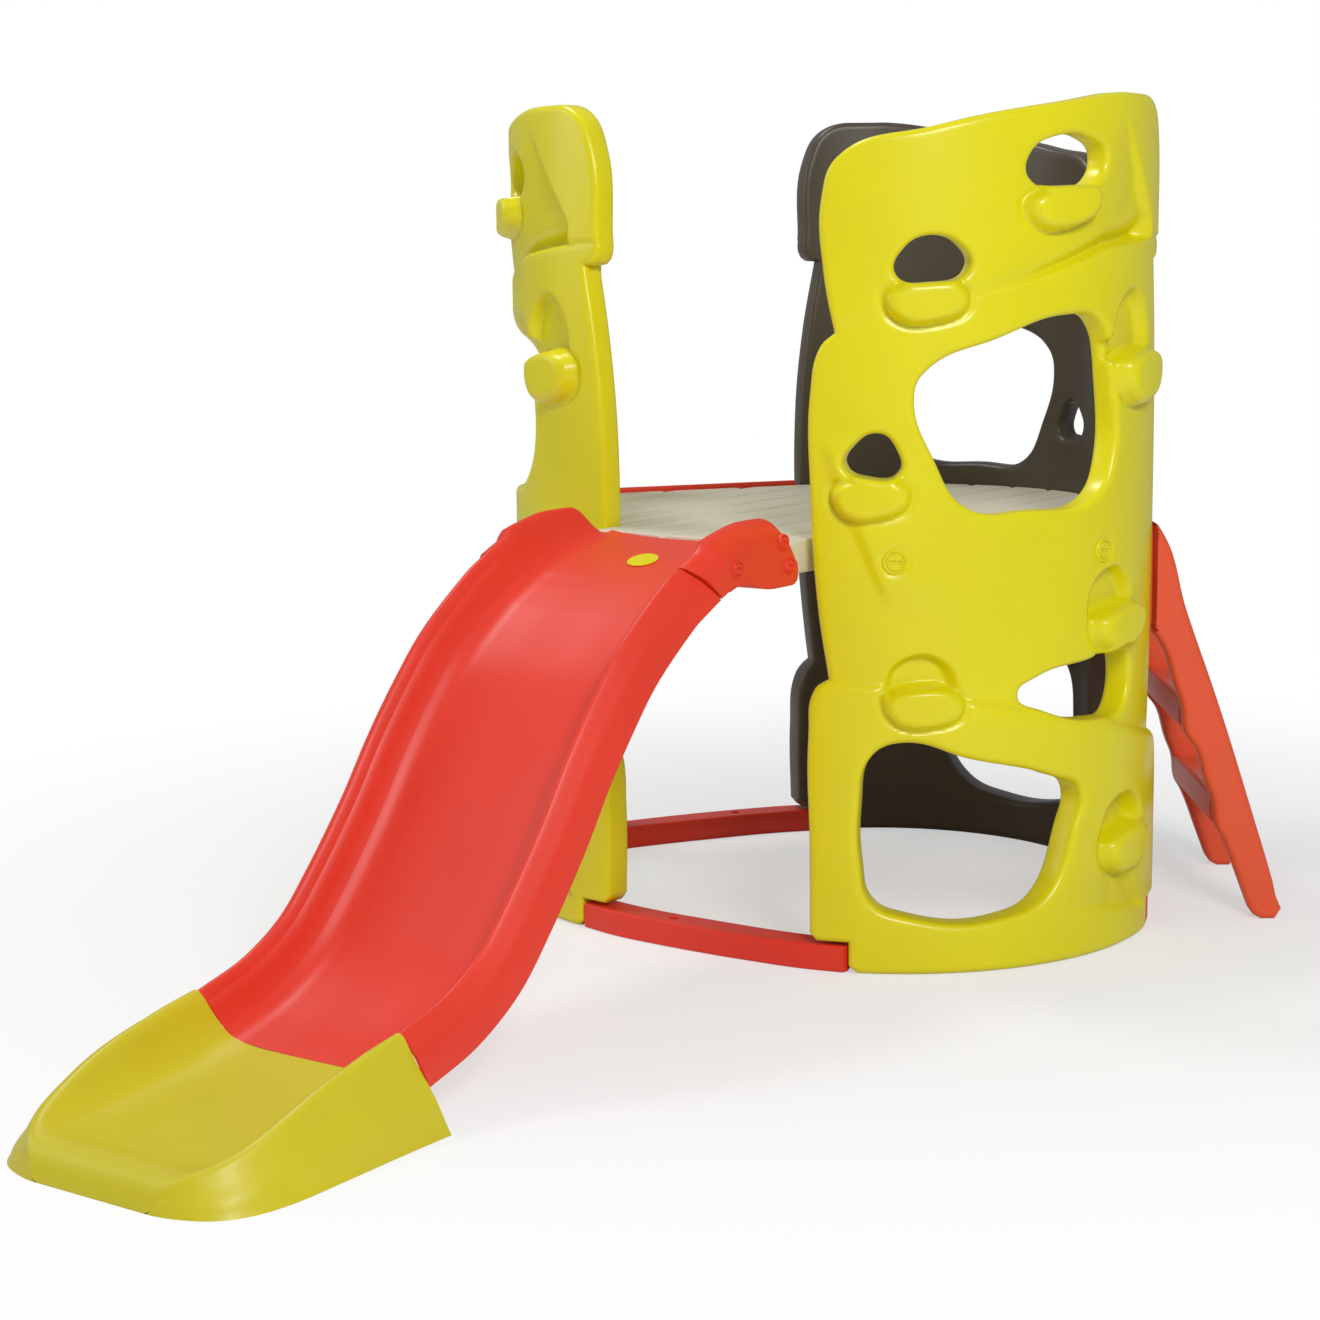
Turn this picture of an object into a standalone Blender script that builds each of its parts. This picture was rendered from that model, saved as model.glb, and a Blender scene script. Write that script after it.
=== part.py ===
"""Climbing tower: three curved climbing walls round a raised platform, with a slide and a ladder.

Metres, +Z up. Every piece is modelled round the tower's own upright axis, with the slide running
out along +X, and hangs from one empty that puts the middle of the whole footprint at the origin.
"""
import math

import bmesh
import bpy
from mathutils import Matrix, Vector

# Plan of the tower
CLEAR = 0.0003
WALL_TURN = math.radians(124.0)
SLIDE_TURN = 0.0
LADDER_TURN = WALL_TURN
REAR_TURN = math.radians(235.7)
WALL_TURNS = {
    "front_climbing_wall": WALL_TURN / 2,
    "left_climbing_wall": math.radians(-52.0),
    "rear_climbing_wall": WALL_TURN * 1.5,
}
WALL_ARC_CENTRES = {
    "front_climbing_wall": (0.0610, 0.1148),
    "left_climbing_wall": (0.0368, -0.1786),
    "rear_climbing_wall": (-0.1293, -0.0136),
}
FOOTPRINT_MIDDLE = (0.6453, 0.0537)

# Climbing wall: an arc about its own centre, which is the mesh's origin
WALL_RADIUS = 0.460
WALL_THICKNESS = 0.050
WALL_HALF_WIDTH = 0.394
WALL_HEIGHT = 1.440
WALL_STRIPS = 15
WALL_STRIP = 0.0560
NOTCH_WIDTH = 0.066
NOTCH_HEIGHT = 0.050

# Platform
DECK_TOP = 0.720
DECK_THICKNESS = 0.055
DECK_WALL_GAP = 0.0018
DECK_CORNER = math.radians(45.5)
SLIDE_NOSE_REACH = 0.622
SLIDE_NOSE_HALF = 0.1675
LADDER_NOSE_REACH = 0.507
LADDER_NOSE_HALF = 0.1810
THROAT_HALF = 0.1960
THROAT_REACH = 0.5430

# Wall bolts, at these places along the wall's arc
BOLT_ALONG = (-0.253, 0.147)
BOLT_HEIGHT = 0.688
BOLT_HEAD_RADIUS = 0.020
BOLT_HEAD = 0.007
BOLT_SHANK_RADIUS = 0.005
BOLT_SEAT = 0.004
BOLT_GRIP = 0.024

# Ground beams
BEAM_HEIGHT = 0.045
BEAM_WIDTH = 0.060
BEAM_SCREW_RADIUS = 0.004
BEAM_SCREW_TOP = 0.078

# Slide: the line of its tongue on the platform, and the slanted seam between brackets and chute
TONGUE_EDGE_RADIUS = 0.552
TONGUE_LINE = (0.526, 0.7190, -0.18)
TONGUE_HALF = 0.1763
SEAM_FOOT = (0.7765, 0.6550)
SEAM_HEAD = (0.8460, 0.7105)
CHUTE_END = 1.4955
BED_THICKNESS = 0.006
CREST_HALF = 0.190
SKIRT_HALF = 0.224
LIP_DEPTH = [(0.80, 0.075), (1.20, 0.077), (1.50, 0.078)]
FOOT_END = 1.917
BRACKET_INNER = 0.1695
BRACKET_OUTER = 0.2265

# Water outlet in the top of the slide
OUTLET_AT = 0.671
OUTLET_RADIUS = 0.0265
OUTLET_STEM = 0.008
OUTLET_STEM_LENGTH = 0.022

# Ladder
STRINGER_OUTER = 0.228
STRINGER_THICKNESS = 0.045
WALL_END_OUT = 0.5130
WALL_END_HALF = 0.2035
STEP_TOPS = (0.217, 0.390, 0.563)
STEP_HEIGHT = 0.046
STEP_SETBACK = 0.037
TENON_LENGTH = 0.016


def new_collection(name):
    """Make a collection and link it to the scene."""
    collection = bpy.data.collections.new(name)
    bpy.context.scene.collection.children.link(collection)
    return collection


for old in list(bpy.data.objects):
    bpy.data.objects.remove(old)

TOWER = new_collection("climbing_tower")
CUTTERS = new_collection("cutters")
AXIS = bpy.data.objects.new("tower_axis", None)
AXIS.location = (-FOOTPRINT_MIDDLE[0], -FOOTPRINT_MIDDLE[1], 0.0)
TOWER.objects.link(AXIS)
bpy.context.view_layer.update()


def srgb(hex_colour):
    """Turn an sRGB hex colour into linear values."""
    parts = [int(hex_colour[i:i + 2], 16) / 255 for i in (1, 3, 5)]
    return [p / 12.92 if p <= 0.04045 else ((p + 0.055) / 1.055) ** 2.4 for p in parts] + [1.0]


def material(name, colour, roughness=0.35, metallic=0.0):
    """Plain Principled material."""
    made = bpy.data.materials.new(name)
    made.use_nodes = True
    shader = made.node_tree.nodes["Principled BSDF"]
    shader.inputs["Base Color"].default_value = srgb(colour)
    shader.inputs["Roughness"].default_value = roughness
    shader.inputs["Metallic"].default_value = metallic
    return made


LIME = material("lime_plastic", "#D9CE1F")
BROWN = material("dark_brown_plastic", "#5A5043", 0.45)
RED = material("red_plastic", "#E2452F")
SAND = material("sand_plastic", "#CFC9B4", 0.5)
ORANGE = material("orange_red_plastic", "#E6532E")
GREY = material("grey_plastic", "#6F7276", 0.5)


def turned(angle):
    """Rotation about the tower's axis."""
    return Matrix.Rotation(angle, 4, "Z")


def add_object(name, mesh, place=Matrix.Identity(4), paint=None, collection=TOWER):
    """Hang a mesh on the tower's axis at a place given in the tower's own frame."""
    made = bpy.data.objects.new(name, mesh)
    collection.objects.link(made)
    made.parent = AXIS
    made.matrix_basis = place
    if paint is not None:
        made.data.materials.clear()
        made.data.materials.append(paint)
    if collection is CUTTERS:
        made.hide_render = True
        made.display_type = "WIRE"
    bpy.context.view_layer.update()
    return made


def finish_mesh(work, name):
    """Close a bmesh into mesh data with its faces pointing out."""
    bmesh.ops.remove_doubles(work, verts=work.verts, dist=1e-6)
    bmesh.ops.recalc_face_normals(work, faces=work.faces)
    mesh = bpy.data.meshes.new(name)
    work.to_mesh(mesh)
    work.free()
    return mesh


def smooth(made, angle=35.0):
    """Shade smooth up to an edge angle."""
    made.data.shade_smooth()
    made.data.set_sharp_from_angle(angle=math.radians(angle))


def box_mesh(name, size, centre):
    """Box of a size about a centre."""
    work = bmesh.new()
    place = Matrix.Translation(centre) @ Matrix.Diagonal((*size, 1.0))
    bmesh.ops.create_cube(work, size=1.0, matrix=place)
    return finish_mesh(work, name)


def lathe_mesh(name, profile, segments):
    """Solid of revolution about Z: a profile of (radius, height) from the top of the axis to its foot."""
    guide = bpy.data.meshes.new(name + "_profile")
    guide.from_pydata([(r, 0.0, z) for r, z in profile], [(i, i + 1) for i in range(len(profile) - 1)], [])
    carrier = bpy.data.objects.new(name + "_profile", guide)
    bpy.context.scene.collection.objects.link(carrier)
    screw = carrier.modifiers.new("turn", "SCREW")
    screw.steps = segments
    screw.render_steps = segments
    screw.use_merge_vertices = True
    screw.merge_threshold = 0.00005
    mesh = evaluated_copy(carrier, name)
    bpy.data.objects.remove(carrier)
    return mesh


def evaluated_copy(made, name):
    """Mesh data of an object with its modifiers applied and loose doubles joined."""
    graph = bpy.context.evaluated_depsgraph_get()
    mesh = bpy.data.meshes.new_from_object(made.evaluated_get(graph))
    work = bmesh.new()
    work.from_mesh(mesh)
    bpy.data.meshes.remove(mesh)
    return finish_mesh(work, name)


def outline_mesh(name, splines, thickness, resolution=3):
    """Flat outline with openings, made as a 2D curve. A point is (x, y) or (x, y, "corner")."""
    curve = bpy.data.curves.new(name + "_outline", "CURVE")
    curve.dimensions = "2D"
    curve.fill_mode = "BOTH"
    curve.extrude = thickness / 2
    curve.resolution_u = resolution
    for points in splines:
        spline = curve.splines.new("BEZIER")
        spline.bezier_points.add(len(points) - 1)
        spline.use_cyclic_u = True
        for knot, point in zip(spline.bezier_points, points):
            knot.co = (point[0], point[1], 0.0)
            kind = "VECTOR" if len(point) == 3 else "AUTO"
            knot.handle_left_type = kind
            knot.handle_right_type = kind
    carrier = bpy.data.objects.new(name + "_outline", curve)
    bpy.context.scene.collection.objects.link(carrier)
    bpy.context.view_layer.update()
    mesh = evaluated_copy(carrier, name)
    bpy.data.objects.remove(carrier)
    bpy.data.curves.remove(curve)
    return mesh


def boolean(made, cutter, operation="DIFFERENCE"):
    """Exact Boolean modifier."""
    step = made.modifiers.new(operation.lower(), "BOOLEAN")
    step.operation = operation
    step.object = cutter
    step.solver = "EXACT"


def circle(x, y, radius, count=4):
    """Round opening for an outline."""
    steps = [2 * math.pi * i / count for i in range(count)]
    return [(x + radius * math.cos(a), y + radius * math.sin(a)) for a in steps]


def spline_points(knots, count):
    """Points evenly spread over a Catmull-Rom curve through the knots, with its tangents."""
    padded = [2 * Vector(knots[0]) - Vector(knots[1])]
    padded += [Vector(k) for k in knots]
    padded.append(2 * padded[-1] - padded[-2])
    spans = len(knots) - 1
    result = []
    for i in range(count):
        t = spans * i / (count - 1)
        span = min(int(t), spans - 1)
        u = t - span
        a, b, c, d = padded[span:span + 4]
        point = 0.5 * (2 * b + (c - a) * u + (2 * a - 5 * b + 4 * c - d) * u ** 2 + (3 * b - a - 3 * c + d) * u ** 3)
        slope = 0.5 * ((c - a) + 2 * (2 * a - 5 * b + 4 * c - d) * u + 3 * (3 * b - a - 3 * c + d) * u ** 2)
        result.append((point, slope.normalized()))
    return result


def value_at(knots, x):
    """Straight-line reading of a list of (x, value)."""
    if x <= knots[0][0]:
        return knots[0][1]
    for (x0, v0), (x1, v1) in zip(knots, knots[1:]):
        if x <= x1:
            return v0 + (v1 - v0) * (x - x0) / (x1 - x0)
    return knots[-1][1]


def loft_mesh(name, rings, paired=False):
    """Skin a row of closed rings of equal length and cap both ends.

    With paired, a cap is a row of quads from the section's upper line to its lower one.
    """
    work = bmesh.new()
    rows = [[work.verts.new(p) for p in ring] for ring in rings]
    count = len(rows[0])
    for low, high in zip(rows, rows[1:]):
        for i in range(count):
            j = (i + 1) % count
            work.faces.new((low[i], low[j], high[j], high[i]))
    for row in (rows[0], rows[-1]):
        if not paired:
            work.faces.new(row)
            continue
        for i in range(count // 2):
            corners = [row[i], row[i + 1], row[count - i - 1], row[(count - i) % count]]
            work.faces.new(list(dict.fromkeys(corners)))
    return finish_mesh(work, name)


# Climbing walls
WALL_OUTLINE = [
    (-0.394, 0.052, "c"), (-0.394, 0.200), (-0.396, 0.400), (-0.385, 0.477), (-0.364, 0.492, "c"),
    (-0.383, 0.611), (-0.396, 0.800), (-0.396, 0.960), (-0.378, 1.035), (-0.354, 1.056, "c"),
    (-0.372, 1.150), (-0.376, 1.270), (-0.350, 1.334), (-0.195, 1.380), (0.050, 1.421),
    (0.240, 1.4394), (0.330, 1.425), (0.368, 1.370), (0.380, 1.230), (0.372, 1.172), (0.345, 1.166, "c"),
    (0.372, 1.020), (0.388, 0.850), (0.384, 0.600), (0.368, 0.420), (0.360, 0.358, "c"),
    (0.386, 0.320), (0.396, 0.220), (0.394, 0.052, "c"),
    (0.328, 0.052, "c"), (0.328, 0.0, "c"), (-0.328, 0.0, "c"), (-0.328, 0.052, "c"),
]
BIG_WINDOW = [
    (-0.222, 0.955), (-0.205, 0.992), (-0.082, 1.044), (0.052, 1.080), (0.132, 1.066),
    (0.170, 0.965), (0.170, 0.835), (0.127, 0.781), (-0.023, 0.764), (-0.133, 0.773), (-0.189, 0.852),
]
SMALL_WINDOW = [
    (-0.039, 0.461), (-0.005, 0.487), (0.122, 0.508), (0.207, 0.524), (0.235, 0.500),
    (0.220, 0.418), (0.134, 0.405), (0.007, 0.432),
]
LOW_WINDOW = [
    (-0.308, 0.180), (-0.311, 0.276), (-0.291, 0.366), (-0.243, 0.390), (-0.128, 0.361), (0.022, 0.322),
    (0.086, 0.288), (0.070, 0.225), (0.014, 0.118), (-0.068, 0.088), (-0.228, 0.096), (-0.293, 0.124),
]
HAND_HOLES = [
    [(-0.030, 1.300), (-0.028, 1.335), (0.022, 1.364), (0.107, 1.360), (0.140, 1.334), (0.120, 1.298), (0.042, 1.287)],
    [(-0.254, 1.150), (-0.240, 1.190), (-0.198, 1.210), (-0.148, 1.194), (-0.132, 1.160), (-0.198, 1.136)],
    [(-0.338, 0.845), (-0.326, 0.872), (-0.278, 0.895), (-0.251, 0.870), (-0.246, 0.833), (-0.298, 0.824)],
]
# Grips as (along, middle height, half width, half height), and blind recesses likewise
GRIPS = [
    (0.037, 1.252, 0.075, 0.034), (-0.203, 1.102, 0.068, 0.034), (-0.292, 0.790, 0.062, 0.034),
    (0.260, 0.982, 0.072, 0.042), (0.174, 0.562, 0.070, 0.042), (-0.206, 0.454, 0.068, 0.034),
    (0.214, 0.176, 0.070, 0.042),
]
RECESSES = [
    (0.242, 1.066, 0.066, 0.050), (0.176, 0.628, 0.062, 0.038), (-0.206, 0.508, 0.060, 0.024),
    (0.212, 0.240, 0.062, 0.034),
]
GRIP_BULGE = 0.030
RECESS_DEPTH = 0.020


def wall_angle(along):
    """Angle on the wall's arc of a distance along its outer face."""
    return along / WALL_RADIUS


def wall_place(along, height, depth=0.0):
    """Frame on the wall: X along it to the right, Y out of its face, Z up."""
    angle = wall_angle(along)
    out = Vector((math.cos(angle), math.sin(angle), 0.0))
    right = Vector((-math.sin(angle), math.cos(angle), 0.0))
    middle = Vector((0.0, 0.0, height)) + out * (WALL_RADIUS - depth)
    place = Matrix.Identity(4)
    for row in range(3):
        place[row][0] = right[row]
        place[row][1] = out[row]
        place[row][3] = middle[row]
    return place


def tidy_flats(work):
    """Join the triangles that lie in one plane."""
    bmesh.ops.dissolve_limit(work, angle_limit=math.radians(0.6), verts=work.verts, edges=work.edges)


def bend_wall(mesh):
    """Cut the flat panel into upright strips and lay each strip on a chord of the wall's arc."""
    work = bmesh.new()
    work.from_mesh(mesh)
    tidy_flats(work)
    edges = [WALL_STRIP * (i - WALL_STRIPS / 2) for i in range(WALL_STRIPS + 1)]
    for edge in edges[1:-1]:
        everything = work.verts[:] + work.edges[:] + work.faces[:]
        bmesh.ops.bisect_plane(work, geom=everything, dist=1e-7, plane_co=(edge, 0, 0), plane_no=(1, 0, 0))
    for vert in work.verts:
        along, height, depth = vert.co
        span = min(max(int((along - edges[0]) / WALL_STRIP), 0), WALL_STRIPS - 1)
        share = (along - edges[span]) / WALL_STRIP
        radius = WALL_RADIUS - WALL_THICKNESS / 2 + depth
        ends = [wall_angle(edges[span]), wall_angle(edges[span + 1])]
        low, high = [Vector((radius * math.cos(a), radius * math.sin(a))) for a in ends]
        spot = low.lerp(high, share)
        vert.co = (spot.x, spot.y, height)
    bmesh.ops.recalc_face_normals(work, faces=work.faces)
    work.to_mesh(mesh)
    work.free()


def ellipsoid(name, along, height, half_width, half_height, bulge):
    """Low-poly ellipsoid centred on the wall's outer face."""
    work = bmesh.new()
    size = Matrix.Diagonal((half_width, bulge, half_height, 1.0))
    bmesh.ops.create_uvsphere(work, u_segments=10, v_segments=6, radius=1.0, matrix=size)
    mesh = finish_mesh(work, name)
    return add_object(name, mesh, wall_place(along, height), collection=CUTTERS)


def lying_bolt_place(along, height, depth):
    """Frame of a bolt in the wall: its own Z points out of the wall's face."""
    return wall_place(along, height, depth) @ Matrix.Rotation(math.radians(-90), 4, "X")


def beam_screw_spots():
    """The two places in a wall's own frame where a ground beam is screwed up into it."""
    angle = wall_angle(WALL_HALF_WIDTH - NOTCH_WIDTH / 2)
    radius = WALL_RADIUS - WALL_THICKNESS / 2
    for side in (-1, 1):
        yield side, Vector((radius * math.cos(angle), side * radius * math.sin(angle), 0.0))


def screw_hole(name, spot, radius, low, high, collection=CUTTERS):
    """Upright cylinder used to cut a hole."""
    work = bmesh.new()
    place = Matrix.Translation((spot.x, spot.y, (low + high) / 2))
    bmesh.ops.create_cone(
        work, cap_ends=True, segments=8, radius1=radius, radius2=radius, depth=high - low, matrix=place)
    return add_object(name, finish_mesh(work, name), collection=collection)


def build_wall_mesh():
    """One climbing wall in its own frame, its middle on +X."""
    flat = outline_mesh("climbing_wall", [WALL_OUTLINE, BIG_WINDOW, SMALL_WINDOW, LOW_WINDOW] + HAND_HOLES,
                        WALL_THICKNESS, 2)
    bend_wall(flat)
    wall = add_object("wall_blank", flat, collection=CUTTERS)
    for index, (along, height, half_width, half_height) in enumerate(RECESSES):
        boolean(wall, ellipsoid(f"recess_{index}", along, height, half_width, half_height, RECESS_DEPTH))
    for index, (along, height, half_width, half_height) in enumerate(GRIPS):
        lobe = ellipsoid(f"grip_{index}", along, height, half_width, half_height, GRIP_BULGE)
        boolean(wall, lobe, "UNION")
    profile = [
        (0.0, 0.02), (BOLT_HEAD_RADIUS + CLEAR, 0.02), (BOLT_HEAD_RADIUS + CLEAR, -BOLT_SEAT),
        (BOLT_SHANK_RADIUS + CLEAR, -BOLT_SEAT), (BOLT_SHANK_RADIUS + CLEAR, -0.07), (0.0, -0.07),
    ]
    bore = lathe_mesh("bolt_bore", profile, 12)
    for index, along in enumerate(BOLT_ALONG):
        place = lying_bolt_place(along, BOLT_HEIGHT, 0.0)
        boolean(wall, add_object(f"bolt_bore_{index}", bore, place, collection=CUTTERS))
    for side, spot in beam_screw_spots():
        hole = screw_hole(f"wall_screw_bore_{side}", spot, BEAM_SCREW_RADIUS + CLEAR, 0.02, BEAM_SCREW_TOP + CLEAR)
        boolean(wall, hole)
    mesh = evaluated_copy(wall, "climbing_wall")
    bpy.data.objects.remove(wall)
    return mesh


def wall_stand(wall_name):
    """Where a wall stands: its arc's centre in plan and its turn."""
    return Matrix.Translation((*WALL_ARC_CENTRES[wall_name], 0.0)) @ turned(WALL_TURNS[wall_name])


WALL_MESH = build_wall_mesh()
for wall_name in WALL_TURNS:
    paint = BROWN if wall_name.startswith("rear") else LIME
    smooth(add_object(wall_name, WALL_MESH.copy(), wall_stand(wall_name), paint), 30.0)


# Platform
def polar(turn, out, side):
    """Plan point from a direction, a distance out along it and a distance to its left."""
    return Vector((
        out * math.cos(turn) - side * math.sin(turn),
        out * math.sin(turn) + side * math.cos(turn)))


def deck_arc(wall_name):
    """Edge of the platform along the inside of one wall."""
    stand = wall_stand(wall_name)
    radius = WALL_RADIUS - WALL_THICKNESS - DECK_WALL_GAP
    steps = 12
    for i in range(steps + 1):
        angle = -DECK_CORNER + 2 * DECK_CORNER * i / steps
        yield (stand @ Vector((radius * math.cos(angle), radius * math.sin(angle), 0.0))).to_2d()


def nose(turn, corners):
    """Edge of the platform across an opening, from corners given on its left side as (out, half)."""
    for out, half in corners:
        yield polar(turn, out, -half)
    for out, half in reversed(corners):
        yield polar(turn, out, half)


def prism_mesh(name, points, low, high):
    """Upright prism over a plan outline."""
    work = bmesh.new()
    face = work.faces.new([work.verts.new((p[0], p[1], low)) for p in points])
    grown = bmesh.ops.extrude_face_region(work, geom=[face])
    top = [item for item in grown["geom"] if isinstance(item, bmesh.types.BMVert)]
    bmesh.ops.translate(work, verts=top, vec=(0, 0, high - low))
    return finish_mesh(work, name)


def tongue_height(out):
    """Height of the slide's tongue where it lies on the platform."""
    start, height, slope = TONGUE_LINE
    return height + slope * (out - start)


def tongue_plan(gap, reach):
    """Plan outline behind the tongue's curved edge, with its corners where the tongue's section has them."""
    sides = (0.0, 0.105, 0.1425, 0.190)
    arc = [(math.sqrt(TONGUE_EDGE_RADIUS ** 2 - side ** 2) - gap, side) for side in sides]
    right = [(out, -side) for out, side in arc[:0:-1]]
    return right + arc + [(reach, sides[-1]), (reach, -sides[-1])]


def build_platform():
    """Platform with its slide nose let down for the chute, and blind holes for its bolts."""
    edge_out = 0.456
    throat_out = 0.4435
    points = list(deck_arc("left_climbing_wall"))
    points += nose(SLIDE_TURN, [(throat_out, THROAT_HALF), (THROAT_REACH, THROAT_HALF),
                                (THROAT_REACH, SLIDE_NOSE_HALF), (SLIDE_NOSE_REACH, SLIDE_NOSE_HALF)])
    points += deck_arc("front_climbing_wall")
    points += nose(LADDER_TURN, [(edge_out, LADDER_NOSE_HALF), (LADDER_NOSE_REACH, LADDER_NOSE_HALF)])
    points += deck_arc("rear_climbing_wall")
    low = DECK_TOP - DECK_THICKNESS
    deck = add_object("platform", prism_mesh("platform", points, low, DECK_TOP), paint=SAND)
    seat = prism_mesh("chute_seat", tongue_plan(0.0012, 0.70), 0.0, 0.05)
    for vert in seat.vertices:
        vert.co.z += tongue_height(vert.co.x) - BED_THICKNESS - 0.0003
    boolean(deck, add_object("chute_seat", seat, collection=CUTTERS))
    return deck


PLATFORM = build_platform()


def hole_cutter(name, mesh, place):
    """Add a cutter for one fastener's hole to the platform."""
    boolean(PLATFORM, add_object(name, mesh, place, collection=CUTTERS))


def fastener_mesh(name, head_radius, head, shank_radius, shank, slot=True, segments=12):
    """Round-headed screw with a coin slot. Its head's underside is at its own origin."""
    edge = min(0.0015, head / 3)
    profile = [(0.0, head), (head_radius - edge, head), (head_radius, head - edge), (head_radius, 0.0),
               (shank_radius, 0.0), (shank_radius, -shank), (0.0, -shank)]
    mesh = lathe_mesh(name, profile, segments)
    if not slot:
        return mesh
    blank = bpy.data.objects.new(name + "_blank", mesh)
    CUTTERS.objects.link(blank)
    cut = box_mesh(name + "_slot", (head_radius * 1.3, head_radius * 0.16, head), (0, 0, head * 1.12))
    cutter = bpy.data.objects.new(name + "_slot", cut)
    CUTTERS.objects.link(cutter)
    boolean(blank, cutter)
    bpy.context.view_layer.update()
    made = evaluated_copy(blank, name)
    bpy.data.objects.remove(blank)
    bpy.data.objects.remove(cutter)
    return made


def bore_mesh(name, radius, low, high):
    """Cylinder along Z between two heights."""
    work = bmesh.new()
    place = Matrix.Translation((0, 0, (low + high) / 2))
    bmesh.ops.create_cone(
        work, cap_ends=True, segments=12, radius1=radius, radius2=radius, depth=high - low, matrix=place)
    return finish_mesh(work, name)


# Wall bolts
BOLT_SHANK = WALL_THICKNESS - BOLT_SEAT + BOLT_GRIP
BOLT_MESH = fastener_mesh("wall_bolt", BOLT_HEAD_RADIUS, BOLT_HEAD, BOLT_SHANK_RADIUS, BOLT_SHANK)
BOLT_HOLE = bore_mesh("deck_bolt_bore", BOLT_SHANK_RADIUS + CLEAR, -BOLT_SHANK - CLEAR, 0.0)
for wall_name in WALL_TURNS:
    for index, along in enumerate(BOLT_ALONG):
        seat = wall_stand(wall_name) @ lying_bolt_place(along, BOLT_HEIGHT, BOLT_SEAT - CLEAR)
        label = wall_name.split("_")[0] + ("_a", "_b")[index]
        wall_paint = BROWN if wall_name.startswith("rear") else LIME
        add_object(f"wall_bolt_{label}", BOLT_MESH.copy(), seat, wall_paint)
        hole_cutter(f"deck_bolt_bore_{label}", BOLT_HOLE, seat)


# Ground beams
def foot_corners(wall_name, side):
    """Plan corners of a wall's foot beside an opening, outer then inner."""
    stand = wall_stand(wall_name)
    angle = side * wall_angle(WALL_HALF_WIDTH - NOTCH_WIDTH + 0.0008)
    way = Vector((math.cos(angle), math.sin(angle), 0.0))
    return [(stand @ (way * radius)).to_2d() for radius in (WALL_RADIUS, WALL_RADIUS - WALL_THICKNESS)]


def build_beam(name, first, last):
    """Ground beam between two walls' feet: straight and slightly bowed, its ends under the walls' notches."""
    corners = [foot_corners(*first), foot_corners(*last)]
    chord = corners[1][0] - corners[0][0]
    across = chord.normalized()
    away = Vector((across.y, -across.x))
    middle = (corners[0][0] + corners[1][0]) / 2
    bow = 0.012
    outer_mid = 0.022 + bow
    inner_mid = outer_mid - BEAM_WIDTH
    halves = []
    for (outer, inner), hand in zip(corners, (-1, 1)):
        proud = outer + (outer - inner) * 0.1
        ends = [((spot - middle).dot(away), (spot - middle).dot(across) * hand) for spot in (inner, proud, outer)]
        line = [(inner_mid - bow * 0.4, ends[0][1] * 0.6), ends[0], ends[1],
                (outer_mid - bow * 0.9, ends[2][1] * 0.72), (outer_mid - bow * 0.2, ends[2][1] * 0.35)]
        halves.append([(out, side * hand) for out, side in line])
    outline = [(inner_mid, 0.0)] + halves[1] + [(outer_mid, 0.0)] + halves[0][::-1]
    points = [middle + away * out + across * side for out, side in outline]
    beam = add_object(name, prism_mesh(name, points, 0.0, BEAM_HEIGHT), paint=RED)
    anchor = middle + away * (outer_mid + inner_mid) / 2 - across * 0.077
    boolean(beam, screw_hole(name + "_peg_hole", anchor, 0.009, -0.01, BEAM_HEIGHT + 0.01))
    return beam


BEAM_SCREW = fastener_mesh("beam_screw", 0.009, 0.004, BEAM_SCREW_RADIUS, BEAM_SCREW_TOP - 0.005, False, 8)
BEAM_BORE_PROFILE = [
    (0.0, 0.060), (BEAM_SCREW_RADIUS + CLEAR, 0.060), (BEAM_SCREW_RADIUS + CLEAR, 0.005 + CLEAR),
    (0.009 + CLEAR, 0.005 + CLEAR), (0.009 + CLEAR, -0.01), (0.0, -0.01),
]
BEAM_BORE = lathe_mesh("beam_screw_bore", BEAM_BORE_PROFILE, 8)
BEAMS = {
    "slide_ground_beam": (("left_climbing_wall", 1), ("front_climbing_wall", -1)),
    "ladder_ground_beam": (("front_climbing_wall", 1), ("rear_climbing_wall", -1)),
    "rear_ground_beam": (("rear_climbing_wall", 1), ("left_climbing_wall", -1)),
}
for beam_name, feet in BEAMS.items():
    beam = build_beam(beam_name, *feet)
    for number, (wall_name, wanted) in enumerate(feet):
        for side, spot in beam_screw_spots():
            if side != wanted:
                continue
            place = wall_stand(wall_name) @ Matrix.Translation(spot)
            bore = add_object(f"{beam_name}_bore_{number}", BEAM_BORE, place, collection=CUTTERS)
            boolean(beam, bore)
            flip = place @ Matrix.Translation((0, 0, 0.005)) @ Matrix.Rotation(math.pi, 4, "X")
            label = beam_name.replace("ground_beam", "beam_screw")
            add_object(f"{label}_{'ab'[number]}", BEAM_SCREW.copy(), flip, GREY)


# Slide: its bed runs along this path of (out, height)
BED_PATH = [
    (0.640, 0.6985), (0.671, 0.6915), (0.727, 0.6755), (0.775, 0.6570), (0.812, 0.6406), (0.857, 0.6160),
    (0.947, 0.5515), (1.009, 0.4890), (1.0725, 0.4137), (1.139, 0.3230), (1.221, 0.2265), (1.296, 0.1530),
    (1.390, 0.1007), (CHUTE_END, 0.0698),
]
BED_SAMPLES = spline_points(BED_PATH, 521)


def mirrored(top, low):
    """Full closed section from the right half of its upper and lower lines."""
    left_top = [(-side, height) for side, height in top[:0:-1]]
    left_low = [(-side, height) for side, height in low[-2::-1]]
    return left_top + top + low + left_low


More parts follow.
